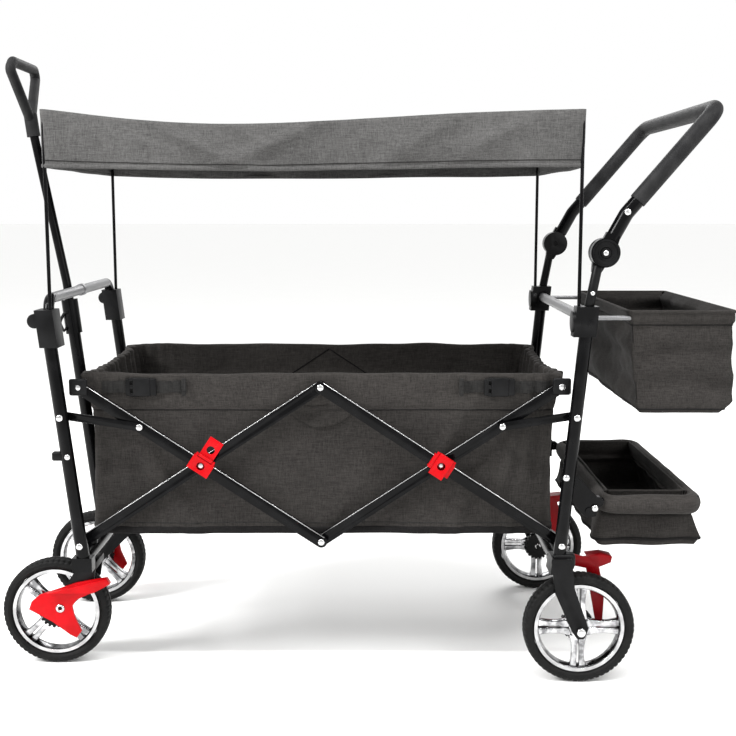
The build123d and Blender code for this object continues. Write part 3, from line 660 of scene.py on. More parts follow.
def addTyre(node):
    low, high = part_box(node)
    centre, r = (low + high) / 2, (high.z - low.z) / 2
    half = (high.y - low.y) / 2
    step = tyre["turns"] // tyre["lugs"]

    def lug(radius, off, turn):
        shoulder = abs(off) > tyre["shoulderShare"] * half and radius > r - tyre["shoulderDepth"]
        return radius - (tyre["lugDepth"] if shoulder and (turn + (off > 0) * step // 2) % step == 0 else 0)

    profile = mirrored([(r - inset, -share * half) for inset, share in tyre["section"]])
    piece = lathe(node + "Tread", profile, centre, "tyreRubber", tyre["turns"], lug)
    smoothTo(piece, 38)
    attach(piece, bodyOf[node])
    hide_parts(node)


def outlinePlate(outline, thick):
    # vertices and faces of a flat plate in X and Z, centred on Y
    count = len(outline)
    verts = [(u, -thick / 2, v) for u, v in outline] + [(u, thick / 2, v) for u, v in outline]
    faces = [tuple(range(count)), tuple(range(2 * count - 1, count - 1, -1))]
    faces += [(k, k + count, (k + 1) % count + count, (k + 1) % count) for k in range(count)]
    return verts, faces


def addSpokes(node, centre, barrelR, turn):
    # each double spoke is two curved halves with a narrow slot between them
    end = barrelR - rim["intoBarrel"]
    halfSpoke = [*rim["slotSide"], *((end, v) for v in rim["spokeEnd"]), *rim["outerSide"]]
    hubEdge = halfSpoke[0][0]
    verts, faces = [], []
    for n in range(rim["spokes"]):
        a = math.radians(turn + 360 / rim["spokes"] * n)
        for flip in (1, -1):
            outline = [(u, flip * v) for u, v in halfSpoke]
            points, sides = outlinePlate(outline if flip > 0 else outline[::-1], rim["spokeThick"])
            start = len(verts)
            for u, off, v in points:
                share = (u - hubEdge) / (barrelR - hubEdge)
                dish = off * (1.1 - 0.25 * math.sin(math.pi * share))
                verts.append((centre.x + u * math.cos(a) - v * math.sin(a), centre.y + dish,
                              centre.z + u * math.sin(a) + v * math.cos(a)))
            faces += [tuple(start + k for k in face) for face in sides]
    spokes = addPiece(node + "Spokes", verts, faces, "wheelChrome")
    bevelEdges(spokes, rim["spokeEdge"])
    smoothTo(spokes, 50)
    return spokes


def addRim(node, turn):
    low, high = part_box(node)
    tyreLow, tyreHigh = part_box(node.replace("rim", "tyre"))
    centre, r = (tyreLow + tyreHigh) / 2, (high.z - low.z) / 2
    profile = mirrored([(r - depth, -rim["half"] + inset) for depth, inset in rim["section"]])
    barrel = lathe(node + "Barrel", profile, centre, "rimEdge", 120)
    smoothTo(barrel, 40)
    barrelR = r - rim["lip"]
    spokes = addSpokes(node, centre, barrelR, turn)
    hub = lathe(node + "Hub", mirrored([(a, -b) for a, b in rim["hub"]]), centre, "wheelChrome", 48)
    smoothTo(hub, 40)
    # toothed brake ring on the side where the frame's rim stands out
    outward = -1 if abs(low.y - tyreLow.y) < abs(high.y - tyreHigh.y) else 1
    ringEnd = low.y if outward < 0 else high.y
    outline = []
    for tooth in range(brakeRing["teeth"]):
        for share, level in brakeRing["toothParts"]:
            a = 2 * math.pi * (tooth + share) / brakeRing["teeth"]
            outline.append((brakeRing[level] * math.cos(a), brakeRing[level] * math.sin(a)))
    points, sides = outlinePlate(outline, abs(ringEnd - centre.y) - brakeRing["inner"])
    ringY = (ringEnd + centre.y + outward * brakeRing["inner"]) / 2
    ring = addPiece(node + "Ring", [(centre.x + u, ringY + off, centre.z + v) for u, off, v in points], sides,
                    "blackPlastic", False)
    head = addDome(node + "Bolt", (centre.x, ringEnd, centre.z), axleBolt["radius"], axleBolt["height"], outward)
    # the inside of the barrel is painted darker than its lips, as painted shade in the wheel's recess
    barrel.data.materials.append(finishes["shadedBarrelChrome"])
    for face in barrel.data.polygons:
        fromAxle = math.hypot(face.center.x - centre.x, face.center.z - centre.z)
        if fromAxle < barrelR - rim["dullBelow"]:
            face.material_index = 1
    for piece in (barrel, spokes, hub, ring, head):
        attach(piece, bodyOf[node])
    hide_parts(node)


for side, hand in hands:
    addTyre(f"front_tyre_{side}")
    addTyre(f"rear_tyre_{side}")
    addRim(f"front_rim_{side}", rim["frontTurn"])
    addRim(f"rear_rim_{side}", rim["rearTurn"])
print("wheels made")

canopy = {"cloth": 0.0011, "rows": 30, "hangRows": 12, "slack": 0.325, "evenSag": 0.0055, "middleSag": 0.010,
          "wrinkle": 0.0030, "softFold": 0.0050, "inset": 0.003, "corner": 0.012, "step": 0.009,
          "hemHalf": 0.0036, "hemFlat": 0.42, "hemUp": 0.002, "seam": 0.0008, "keep": 0.372, "flat": (0.702, 1.077),
          # tension fold at a corner: lean, depth, width
          "cornerFolds": [(0.95, 0.0046, 0.020), (2.1, 0.0044, 0.026), (3.6, 0.0040, 0.034),
                          (0.35, 0.0030, 0.010)],
          # crease: where it starts along X, lean, depth, width, share of the drop at which it fades
          "creases": [(-0.335, 1.7, 0.0085, 0.020, 0.85), (-0.235, 1.1, -0.0060, 0.026, 0.9),
                      (-0.06, -1.9, 0.0075, 0.022, 0.8), (0.02, 0.8, 0.0050, 0.020, 1.0),
                      (0.16, -1.4, 0.0070, 0.024, 0.85), (0.30, -1.8, 0.0065, 0.018, 0.8),
                      (-0.44, 0.9, -0.0045, 0.016, 0.9), (0.23, 0.7, -0.0050, 0.022, 0.9)]}
canopyLow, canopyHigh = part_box("canopy_cover")
canopyMidX = (canopyLow.x + canopyHigh.x) / 2


def canopyPoint(p, out, reach, drop):
    # reach is 1 on the edge and 0 in the middle of the top; drop is 0 at the edge and 1 at the hem
    along = (p.x - canopyMidX) / (canopyHigh.x - canopyMidX)
    across = p.y / canopyHigh.y
    span = max(0.0, 1 - along * along)
    # the cloth hangs lowest a third of the way back from the front hoop
    share = min(1.0, max(0.0, (1 + along) / 2))
    sag = canopy["slack"] * share ** 1.5 * (1 - share) ** 3 + canopy["evenSag"] * 4 * share * (1 - share)
    if reach < 1:
        sag += canopy["middleSag"] * span * (1 - across * across) * min(1, (1 - reach) * 3)
        z = canopyHigh.z - sag - 0.0015 * (reach ** 14)
        crease = wrinkle((p.x * 0.6, p.y * 1.6, 0.3), 9, 0.0030, 2.0) * (1 - reach ** 8)
        return Vector((p.x, p.y, z + crease - 0.001))
    tall = canopyHigh.z - canopyLow.z
    z = canopyHigh.z - sag - 0.0015 - (tall - 0.002 - sag * 0.80) * drop
    push = 0.0026 * math.sin(math.pi * min(1, drop * 1.1)) - 0.0022
    # tension folds run down and inward from the hoops' corners
    for corner in (-1, 1):
        u = (1 - corner * along) * (canopyHigh.x - canopyLow.x) / 2
        for slope, depth, width in canopy["cornerFolds"]:
            push += depth * hump(u - 0.012 - drop * tall * slope, width) * (0.25 + drop) * (1 - 0.7 * drop)
    # long soft folds lean forward as they fall
    for start, slope, depth, width, top in canopy["creases"]:
        distance = p.x - start - drop * tall * slope
        push += depth * hump(distance, width) * math.sin(math.pi * min(1, 0.12 + drop * top))
    lean = p.x * 13 + p.y * 5 + drop * 1.9
    wave = math.sin(lean + 1.3 * math.sin(lean * 0.37)) - 0.4
    push += canopy["softFold"] * 0.5 * wave * span * (0.35 + 0.65 * drop)
    push += wrinkle((p.x, p.y, z * 1.4), 7, canopy["wrinkle"], 5.0) * (0.3 + drop)
    push += wrinkle((p.x * 1.5, p.y * 1.5, z), 26, 0.0012, 9.0)
    push = max(-0.010, min(push, 0.0095)) * (1 - 0.4 * abs(along) ** 6)
    return Vector((p.x + out.x * push, p.y + out.y * push, z + wrinkle((p.x, p.y, 0), 6, 0.0022, 3.0) * drop))


loop = roundedLoop(canopyLow.x + canopy["inset"], canopyHigh.x - canopy["inset"], canopyHigh.y - canopy["inset"],
                   canopy["corner"], canopy["step"])
rings = []
for k in range(canopy["rows"]):
    reach = (k / canopy["rows"]) ** 0.75
    rings.append([canopyPoint(Vector((canopyMidX + (p.x - canopyMidX) * reach, p.y * reach)), out, reach, 0)
                  for p, out in loop])
for k in range(canopy["hangRows"] + 1):
    rings.append([canopyPoint(p, out, 1, k / canopy["hangRows"]) for p, out in loop])
verts = [v for ring in rings for v in ring]
cover = addPiece("canopySheet", verts, ringFaces(len(rings), len(loop)), "canopyCloth")
tool = bmesh.new()
tool.from_mesh(cover.data)
bmesh.ops.remove_doubles(tool, verts=tool.verts, dist=0.0002)
bmesh.ops.recalc_face_normals(tool, faces=tool.faces)
tool.to_mesh(cover.data)
tool.free()
thicken(cover, canopy["cloth"])
hemLine = [v + Vector((0, 0, canopy["hemUp"])) for v in rings[-1]]
hem = addTube("canopyHem", hemLine, canopy["hemHalf"], "canopyCloth", 8, True, canopy["hemFlat"])
seamLine = [v.lerp(w, 0.5) + Vector((0, 0, -0.001)) for v, w in zip(rings[-3], rings[-2])]
seam = addTube("canopySeam", seamLine, canopy["seam"], "webbing", 6, True)
for piece in (cover, hem, seam):
    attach(piece, "front_frame")
    fold(piece)
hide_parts("canopy_cover")
print("canopy draped")

basket = {"rows": 40, "hemZ": 0.466, "step": 0.0065, "corner": 0.020, "inset": 0.002, "rimDrop": 0.004,
          "rimRoll": 0.0042, "collar": 0.016, "collarTall": 0.034, "floorThick": 0.012, "keep": 0.31,
          # crease: where it starts along X, lean, depth, width, height that it starts from
          "creases": [(0.20, -0.55, 0.0065, 0.016, 0.50), (0.285, -0.30, 0.0075, 0.014, 0.47),
                      (0.30, 0.10, -0.0060, 0.012, 0.47), (-0.42, 0.62, 0.0060, 0.016, 0.47),
                      (-0.36, 0.15, 0.0050, 0.014, 0.46), (-0.05, 0.9, 0.0035, 0.018, 0.42),
                      (0.08, -0.8, 0.0035, 0.018, 0.44), (-0.16, 0.35, 0.0030, 0.015, 0.45)]}
basketLow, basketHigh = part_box("basket")
basketLoop = roundedLoop(basketLow.x + basket["inset"], basketHigh.x - basket["inset"],
                         basketHigh.y - basket["inset"], basket["corner"], basket["step"])


def basketPush(p, out, z):
    # how far the cloth stands out of its flat wall
    tall = (z - basketLow.z) / (basketHigh.z - basketLow.z)
    alongX = min(p.x - basketLow.x, basketHigh.x - p.x)
    alongY = basketHigh.y - abs(p.y)
    nearCorner = math.exp(-max(alongX, alongY) / 0.055)
    onEnd = abs(out.x) > 0.5
    push = -(0.006 if onEnd else 0.0055) * math.sin(math.pi * tall)
    # upright puckers beside the corners, and across the whole end walls
    wave = p.y if onEnd else p.x
    depth = 0.0050 * nearCorner + (0.0052 if onEnd else 0.0)
    push += depth * (math.sin(wave * 205 + 1.4 * math.sin(wave * 61)) - 0.5) * (0.45 + 0.55 * tall)
    # pull lines that fan down from the upper corners
    if not onEnd:
        push += 0.0042 * hump(alongX - 0.03 - (basketHigh.z - z) * 0.55, 0.014) * (1 - tall) * 1.6
        push += 0.0034 * hump(alongX - 0.02 - (basketHigh.z - z) * 0.22, 0.010)
    push += wrinkle((p.x, p.y, z * 0.7), 8, 0.0040, 1.0) + wrinkle((p.x, p.y * 2, z * 1.6), 24, 0.0014, 7.0)
    for start, slope, depth, width, upper in basket["creases"]:
        if not onEnd and z < upper:
            below = upper - z
            fade = math.sin(math.pi * min(1, 0.08 + below / 0.24))
            push += depth * hump(p.x - start - below * slope, width) * fade
    # the rim is pulled out over the bar ends at both ends of the tub
    collar = hump(basketHigh.z - z, basket["collarTall"])
    if onEnd:
        push += basket["collar"] * collar * (0.35 + 0.65 * (abs(p.y) / basketHigh.y) ** 4)
    band = 1 / (1 + math.exp(-(z - basket["hemZ"]) / 0.0012))
    push += 0.0016 * band - 0.0018 * hump(z - basket["hemZ"], 0.0022)
    return max(-0.018, min(0.0042 if not onEnd else 0.004 + basket["collar"] * collar, push))


def basketRing(z, shift=0.0):
    ring = []
    for p, out in basketLoop:
        push = basketPush(p, out, z) - shift
        lift = 0.0
        if z > basketHigh.z - 0.02:
            lift = wrinkle((p.x, p.y, 0), 11, 0.0035, 4.0) - 0.002
            if abs(out.x) > 0.5:
                lift -= 0.006 * (1 - (p.y / basketHigh.y) ** 2)
        ring.append(Vector((p.x + out.x * push, p.y + out.y * push, z + lift)))
    return ring


zTop, zLow = basketHigh.z - basket["rimDrop"], basketLow.z


def innerShift(z):
    # the inner skin lies further in under the rim than at the floor
    return 0.009 - 0.006 * min(1, (zTop - z) / 0.06)


levels = [zLow + (zTop - zLow) * k / basket["rows"] for k in range(basket["rows"] + 1)]
rings = [basketRing(z) for z in levels]
for turnBack in (30, 70, 110, 150):
    a = math.radians(turnBack)
    rings.append(basketRing(zTop + basket["rimRoll"] * math.sin(a), 0.0045 * (1 - math.cos(a))))
rings += [basketRing(z, innerShift(z)) for z in reversed(levels) if z > zLow + basket["floorThick"]]
rings.append([Vector((v.x * 0.985, v.y * 0.975, zLow + 0.0112)) for v in rings[-1]])
count = len(basketLoop)
faces = ringFaces(len(rings), count) + [ringCap(0, count), ringCap(len(rings) - 1, count)]
tub = addPiece("basketShell", [v for ring in rings for v in ring], faces, "basketCloth")
smoothTo(tub, 75)
tub.data.materials.append(finishes["rimCloth"])
for face in tub.data.polygons:
    if face.center.z > basket["hemZ"]:
        face.material_index = 1
basketPieces = [tub]

binding = {"hemUp": 0.0062, "hemHalf": 0.0062, "hemFlat": 0.30, "seam": 0.0011, "lowSeamUp": 0.0190,
           "lowSeam": 0.0007}
stitch = {"length": 0.0034, "gap": 0.0020, "radius": 0.0005, "up": 0.0046, "proud": 0.0012}
basketPieces += [
    addTube("basketHem", basketRing(zLow + binding["hemUp"]), binding["hemHalf"], "bindingCloth", 8, True,
            binding["hemFlat"]),
    addTube("basketSeam", basketRing(basket["hemZ"] - 0.0004), binding["seam"], "bindingCloth", 8, True),
    addTube("basketSeamLow", basketRing(zLow + binding["lowSeamUp"]), binding["lowSeam"], "webbing", 8, True),
]
# a row of stitches just above the hem seam
stitchLine = [v + Vector((0, 0, stitch["up"])) for v in basketRing(basket["hemZ"], -stitch["proud"])]
verts, faces = [], []
run, place = 0.0, 0.0
for a, b in zip(stitchLine, stitchLine[1:] + stitchLine[:1]):
    step = (b - a).length
    along = (b - a).normalized()
    while place < run + step:
        start = a.lerp(b, (place - run) / step)
        points, sides = tubeAlong([start, start + along * stitch["length"] * 0.5, start + along * stitch["length"]],
                                  lambda t: stitch["radius"] * (0.5 + math.sin(math.pi * min(1, t)) * 0.5), 6)
        base = len(verts)
        verts += points
        faces += [tuple(base + k for k in face) for face in sides]
        place += stitch["length"] + stitch["gap"]
    run += step
basketPieces.append(addPiece("rimStitch", verts, faces, "basketCloth"))

# pocket mouth under the middle of the long sides, like a slack smile
pocket = {"half": 0.066, "top": 0.474, "drop": 0.038, "proud": 0.0044, "cloth": 0.0014, "columns": 28, "rows": 8}
for side, hand in hands:
    verts, faces = [], []
    columns, rows = pocket["columns"], pocket["rows"]
    for i in range(columns + 1):
        u = -1 + 2 * i / columns
        x = middleX + u * pocket["half"]
        for j in range(rows + 1):
            t = j / rows
            z = pocket["top"] - pocket["drop"] * (1 - u * u) * t + 0.001 * math.sin(u * 9)
            wall = basketPush(Vector((x, hand * basketHigh.y)), Vector((0, hand)), z)
            proud = pocket["proud"] * (1 - u * u) * (t ** 1.6) + 0.0004
            verts.append((x, hand * (basketHigh.y - basket["inset"] + wall + proud), z))
    for i in range(columns):
        for j in range(rows):
            a = i * (rows + 1) + j
            faces.append((a, a + 1, a + rows + 2, a + rows + 1))
    mouth = addPiece("pocket" + side.title(), verts, faces, "basketCloth")
    thicken(mouth, pocket["cloth"])
    basketPieces.append(mouth)

# seams inside the long walls that lean like the bars outside
innerSeam = {"reach": 0.24, "fall": 0.16, "underRim": 0.012, "radius": 0.0014, "steps": 24}
for side, hand in hands:
    for end, lean in (("Front", -1), ("Rear", 1)):
        line = []
        for k in range(innerSeam["steps"] + 1):
            t = k / innerSeam["steps"]
            x = middleX + lean * innerSeam["reach"] * t
            z = basketHigh.z - innerSeam["underRim"] - innerSeam["fall"] * t
            p = Vector((x, hand * (basketHigh.y - basket["inset"])))
            push = basketPush(p, Vector((0, hand)), z) - innerShift(z)
            line.append(Vector((x, p.y + hand * push, z)))
        basketPieces.append(addTube("innerSeam" + side.title() + end, line, innerSeam["radius"], "bindingCloth"))

# floor board with its cloth cover
boardLow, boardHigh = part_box("basket_floor")
board = {"inset": 0.004, "sideInset": 0.006, "corner": 0.02, "step": 0.02,
         # share of the outline's size and height of each ring, from the underside to the middle of the top
         "rings": ((1.0, boardLow.z + 0.001), (1.004, boardLow.z + 0.004), (0.998, boardHigh.z - 0.001),
                   (0.985, boardHigh.z), (0.7, boardHigh.z + 0.0004), (0.4, boardHigh.z - 0.0003),
                   (0.1, boardHigh.z))}
boardLoop = roundedLoop(boardLow.x + board["inset"], boardHigh.x - board["inset"],
                        boardHigh.y - board["sideInset"], board["corner"], board["step"])
verts = [Vector(((p.x - middleX) * share + middleX, p.y * share, z)) for share, z in board["rings"]
         for p, out in boardLoop]
count = len(boardLoop)
boardRows = len(board["rings"])
faces = [ringCap(0, count), ringCap(boardRows - 1, count)] + ringFaces(boardRows, count)
boardPiece = addPiece("floorBoard", verts, faces, "rimCloth")
smoothTo(boardPiece, 50)
basketPieces.append(boardPiece)

# webbing straps and side-release buckles by the rim
strap = {"half": 0.0100, "thick": 0.0013, "columns": 40, "keeper": 0.007}
buckle = {"half": 0.01586, "inner": 0.001, "proud": 0.0056,
          # part: front, rear, lower and upper share of the half height, inset at the back and the front, edge
          "parts": {"core": (-0.014, 0.016, -1, 1, 0, 0, 0.0022),
                    "tail": (0.015, 0.026, -0.92, 0.92, 0.001, 0.0008, 0.0016),
                    "bar": (-0.026, -0.018, -0.92, 0.92, 0.001, 0.001, 0.0016),
                    "prongLow": (-0.020, -0.004, -1.02, -0.62, 0.0012, 0.0004, 0.0014),
                    "prongHigh": (-0.020, -0.004, 0.62, 1.02, 0.0012, 0.0004, 0.0014),
                    "tongue": (-0.020, -0.006, -0.22, 0.22, 0.0014, 0.0006, 0.0012)}}
strapLow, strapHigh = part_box("basket_straps")
strapZ = (strapLow.z + strapHigh.z) / 2
strapRuns = {"Front": (strapLow.x - 0.03, strapLow.x + 0.112, strapLow.x + 0.036),
             "Rear": (strapHigh.x - 0.142, strapHigh.x + 0.012, strapHigh.x - 0.074)}
for side, hand in hands:
    for end, (x0, x1, buckleX) in strapRuns.items():
        verts = []
        columns = strap["columns"]
        for i in range(columns + 1):
            x = x0 + (x1 - x0) * i / columns
            slack = 0.0008 * math.sin(i * 0.9) + 0.002 * hump(x - buckleX, 0.03)
            wall = basketPush(Vector((x, hand * basketHigh.y)), Vector((0, hand)), strapZ)
            y = hand * (basketHigh.y - basket["inset"] + max(wall, -0.004) + 0.0006 + slack)
            for off, up in ((0, -1), (0, 1), (1, 1), (1, -1)):
                verts.append((x, y + hand * off * strap["thick"],
                              strapZ + up * strap["half"] - 0.0006 * math.sin(i * 0.5)))
        faces = ringFaces(columns + 1, 4) + [ringCap(0, 4), ringCap(columns, 4)]
        basketPieces.append(addPiece("strap" + end + side.title(), verts, faces, "webbing", False))
        near, far = hand * (basketHigh.y - buckle["inner"]), hand * (basketHigh.y + buckle["proud"])
        y0, y1 = min(near, far), max(near, far)
        h = buckle["half"]
        parts = [addBlock(part, (buckleX + front, y0 + back, strapZ + lower * h),
                          (buckleX + rear, y1 - face, strapZ + upper * h), edge, "blackPlastic")
                 for part, (front, rear, lower, upper, back, face, edge) in buckle["parts"].items()]
        keeperX = x1 - strap["keeper"] if end == "Front" else x0
        parts.append(addBlock("keeper", (keeperX, y0, strapZ - h * 0.95),
                              (keeperX + strap["keeper"], y1 - 0.0024, strapZ + h * 0.95), 0.0008, "webbing"))
        basketPieces.append(joinPieces("buckle" + end + side.title(), parts))

for piece in basketPieces:
    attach(piece, "front_frame")
    fold(piece)
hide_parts("basket", "basket_straps")
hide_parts("basket_floor")
print("basket sewn:", len(basketPieces), "pieces")

# black end caps on the bars' upper ends
cap = {"half": 0.0155, "lower": 0.9, "upper": 0.95, "back": 0.007, "proud": 0.0016, "edge": 0.004}
capPlaces = {"capFront": ("front_outer_bars", frontX, 0.0), "capRear": ("rear_inner_bars", rearX, barStep)}
for side, hand in hands:
    for name, (body, x, inward) in capPlaces.items():
        y0 = hand * (abs(outerFace) - inward)
        near, far = y0 - hand * cap["back"], y0 + hand * cap["proud"]
        block = addBlock(name + side.title(), (x - cap["half"], min(near, far), topZ - cap["half"] * cap["lower"]),
                         (x + cap["half"], max(near, far), topZ + cap["half"] * cap["upper"]), cap["edge"],
                         "blackPlastic")
        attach(block, body)
addRivets("rearInnerRivets", "rear_inner_bars", [(rearX, outerFace + barStep - cap["proud"], topZ)])
print("caps made")

bags = {"rows": 26, "wall": 0.0024, "step": 0.0075, "lipTurns": 8, "lipStart": 0.6, "lipSweep": 1.15}


def bagRange(outline, z):
    # front and rear edge of a bag's side outline at height z
    def at(line):
        for (z0, x0), (z1, x1) in zip(line, line[1:]):
            if z0 >= z >= z1:
                return x0 + (x1 - x0) * (z0 - z) / (z0 - z1)
        return line[-1][1]
    return at(outline["front"]), at(outline["rear"])


def sewBag(name, node, outline, halfWidth, corner, push, lip, innerGap=0.0):
    low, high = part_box(node)
    spanX, spanY = high.x - low.x, high.y
    # a round-cornered ring in real sizes, kept as shares so that each row can stretch it
    loop = [(p.x / spanX, p.y / spanY, out) for p, out in roundedLoop(0.0, spanX, spanY, corner, bags["step"])]
    top, bottom = outline["front"][0][0], outline["front"][-1][0]

    def ring(z, shift, swell=1.0):
        x0, x1 = bagRange(outline, z)
        made = []
        for sx, sy, out in loop:
            p = Vector((x0 + (x1 - x0) * sx, halfWidth * sy))
            d = push(p, out, z, (top - z) / (top - bottom), x0, x1, swell) - shift
            made.append(Vector((p.x + out.x * d, p.y + out.y * d, z)))
        return made

    levels = [top - (top - bottom) * k / bags["rows"] for k in range(bags["rows"] + 1)]
    rings = [ring(z, 0.0) for z in reversed(levels)]
    # the mouth turns over in a small round lip
    for k in range(1, bags["lipTurns"] + 1):
        a = math.pi * bags["lipSweep"] * k / bags["lipTurns"] - bags["lipStart"]
        up = Vector((0, 0, lip * 0.85 * (math.sin(a) + math.sin(bags["lipStart"]))))
        rings.append([v + up for v in ring(top, -lip * 0.7 * (math.cos(a) - 0.35))])
    # the inner skin keeps clear of the rod at the top and lies close to the outer skin below
    rings += [ring(z, bags["wall"] + 0.001 + innerGap * math.exp(-((top - z) / 0.022) ** 4), 0.0)
              for z in levels if bottom + 0.006 < z < top - 0.002]
    rings.append(ring(bottom + 0.005, bags["wall"] + 0.006))
    count = len(loop)
    faces = ringFaces(len(rings), count) + [ringCap(0, count), ringCap(len(rings) - 1, count)]
    shell = addPiece(name, [v for r in rings for v in r], faces, "basketCloth")
    smoothTo(shell, 80)
    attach(shell, "rear_frame")
    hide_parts(node)
    return ring, levels


def sewSeam(name, line, radius, closed=True):
    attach(addTube(name, line, radius, "bindingCloth", 8, closed), "rear_frame")


# the upper bag hangs on a rod frame that its hem is sewn round
upperLow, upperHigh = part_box("upper_bag")
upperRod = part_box("upper_bag_frame")
upper = {"overRod": 0.0015, "corner": 0.006, "lip": 0.0045, "innerGap": 0.0085, "hemDown": 0.0195, "hem": 0.0010,
         "pipingUp": 0.006, "piping": 0.0014, "seam": 0.0013, "seamInset": 0.004, "seamSunk": 0.0016}
upperFrontX, upperRearX = upperLow.x, upperRod[1].x + upper["overRod"]
upperHalf = upperRod[1].y - upper["overRod"]
# height and X of each corner of the side outline, from the top down
upperOutline = {
    "front": [(upperHigh.z, upperFrontX), (upperLow.z + 0.016, upperFrontX + 0.014),
              (upperLow.z, upperFrontX + 0.022)],
    "rear": [(upperHigh.z, upperRearX - 0.002), (upperLow.z + 0.018, upperHigh.x - 0.0035),
             (upperLow.z, upperHigh.x - 0.026)],
}


def upperPush(p, out, z, down, x0, x1, swell=1.0):
    onFront, onRear = out.x < -0.5, out.x > 0.5
    edge = upperHalf - abs(p.y) if onFront or onRear else min(abs(p.x - x0), abs(x1 - p.x))
    push = -0.004 * math.sin(math.pi * min(1, down * 1.1))
    # slack cloth ripples sideways under its hem
    ripple = math.sin(down * 19 + p.x * 15 + 2.2 * math.sin(p.x * 19 + p.y * 9))
    push += 0.0040 * ripple * abs(ripple) * (0.35 + 0.65 * math.sin(math.pi * down))
    push += 0.0030 * hump(down * 0.8 - (p.x - x0) * 3.1, 0.10)
    push += wrinkle((p.x * 0.8, p.y * 0.8, z * 2.2), 17, 0.0042, 6.0)
    push += wrinkle((p.x, p.y, z * 1.5), 40, 0.0012, 8.0)
    if onFront:
        push += 0.007 * math.sin(down * 9 + p.y * 12) * math.sin(math.pi * down)
        push -= 0.006 * (1 - down) * (1 - (p.y / 0.222) ** 2)
    # the hem swells round the rod inside it
    hemSwell = swell * math.exp(-((down - 0.040) / 0.062) ** 6)
    push = min(push, 0.0030 if onRear else 0.0045) * min(1, 0.25 + edge / 0.02)
    return push * (1 - hemSwell) + hemSwell * (0.002 if onFront else 0.0034)


upperRing, upperLevels = sewBag("upperBagShell", "upper_bag", upperOutline, upperHalf, upper["corner"], upperPush,
                                upper["lip"], upper["innerGap"])
sewSeam("upperBagHem", upperRing(upperHigh.z - upper["hemDown"], -0.0004), upper["hem"])
sewSeam("upperBagPiping", upperRing(upperLow.z + upper["pipingUp"], -0.0004), upper["piping"])
# an upright seam at each rear and front corner
for side, hand in hands:
    for end in ("Front", "Rear"):
        line = []
        for z in upperLevels[1:-1]:
            x0, x1 = bagRange(upperOutline, z)
            x = x0 + upper["seamInset"] if end == "Front" else x1 - upper["seamInset"]
            p = Vector((x, hand * upperHalf))
            d = upperPush(p, Vector((0, hand)), z, (upperHigh.z - z) / (upperHigh.z - upperLow.z), x0, x1)
            line.append(Vector((x, p.y + hand * (d - upper["seamSunk"]), z)))
        sewSeam("upperSeam" + end + side.title(), line, upper["seam"], False)

# the lower bag hangs on a padded rod frame
lowerLow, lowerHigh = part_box("lower_bag")
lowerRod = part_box("lower_bag_frame")
lower = {"inset": 0.003, "corner": 0.009, "lip": 0.003, "pipingUp": 0.010, "piping": 0.0024}
lowerOutline = {
    "front": [(lowerHigh.z, lowerLow.x + 0.010), (lowerLow.z + 0.012, lowerLow.x + 0.002),
              (lowerLow.z, lowerLow.x + 0.012)],
    "rear": [(lowerHigh.z, lowerRod[1].x - 0.011), (lowerHigh.z - 0.030, lowerRod[1].x - 0.004),
             (lowerLow.z + 0.012, lowerHigh.x - 0.001), (lowerLow.z, lowerHigh.x - 0.012)],
}


def lowerPush(p, out, z, down, x0, x1, swell=1.0):
    onEnd = abs(out.x) > 0.5
    push = 0.0030 * math.sin((p.y if onEnd else p.x) * 70 + 4 * down) * down
    push += wrinkle((p.x, p.y, z * 1.2), 16, 0.0050, 11.0) * (0.3 + down)
    push -= 0.0100 * hump(down - 0.36, 0.050)
    push -= 0.004 * math.sin(math.pi * down)
    return min(push, 0.0065) - 0.012 * math.exp(-(down / 0.26) ** 4)


lowerRing, lowerLevels = sewBag("lowerBagShell", "lower_bag", lowerOutline, lowerHigh.y - lower["inset"],
                                lower["corner"], lowerPush, lower["lip"])
sewSeam("lowerBagPiping", lowerRing(lowerLow.z + lower["pipingUp"], -0.0006), lower["piping"])

# the padded roll sewn round the frame rod
roll = {"across": 0.0130, "tall": 0.0165, "down": 0.0150, "around": 18, "corner": 0.024, "step": 0.006,
        "frontInset": 0.006, "rearInset": 0.010, "sideInset": 0.006, "fill": 0.9}
rollLoop = [p for p, out in roundedLoop(lowerOutline["front"][0][1] + roll["frontInset"],
                                        lowerRod[1].x - roll["rearInset"], lowerRod[1].y - roll["sideInset"],
                                        roll["corner"], roll["step"])]
around = roll["around"]
verts, faces = [], []
for k, p in enumerate(rollLoop):
    along = (rollLoop[(k + 1) % len(rollLoop)] - rollLoop[k - 1]).normalized()
    aside = Vector((along.y, -along.x))
    swell = 1 + 0.025 * math.sin(k * 0.41) + 0.03 * math.sin(k * 0.17)
    for m in range(around):
        a = 2 * math.pi * m / around
        wide = math.cos(a) * roll["across"] * swell
        rise = math.sin(a) * roll["tall"] * swell
        verts.append((p.x + aside.x * wide, p.y + aside.y * wide,
                      lowerHigh.z - roll["down"] + rise + wrinkle((p.x, p.y, rise), 9, 0.0014, 3.0)))
for k in range(len(rollLoop)):
    for m in range(around):
        n, q = (m + 1) % around, (k + 1) % len(rollLoop)
        faces.append((k * around + m, q * around + m, q * around + n, k * around + n))
lowerRoll = addPiece("lowerBagRoll", verts, faces, "rimCloth")
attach(lowerRoll, "rear_frame")
bracketRivet = (lowerLow.x - 0.004, -0.2445, lowerHigh.z - 0.020)
addRivets("bracketRivets", "rear_frame", [bracketRivet])
print("bags sewn")

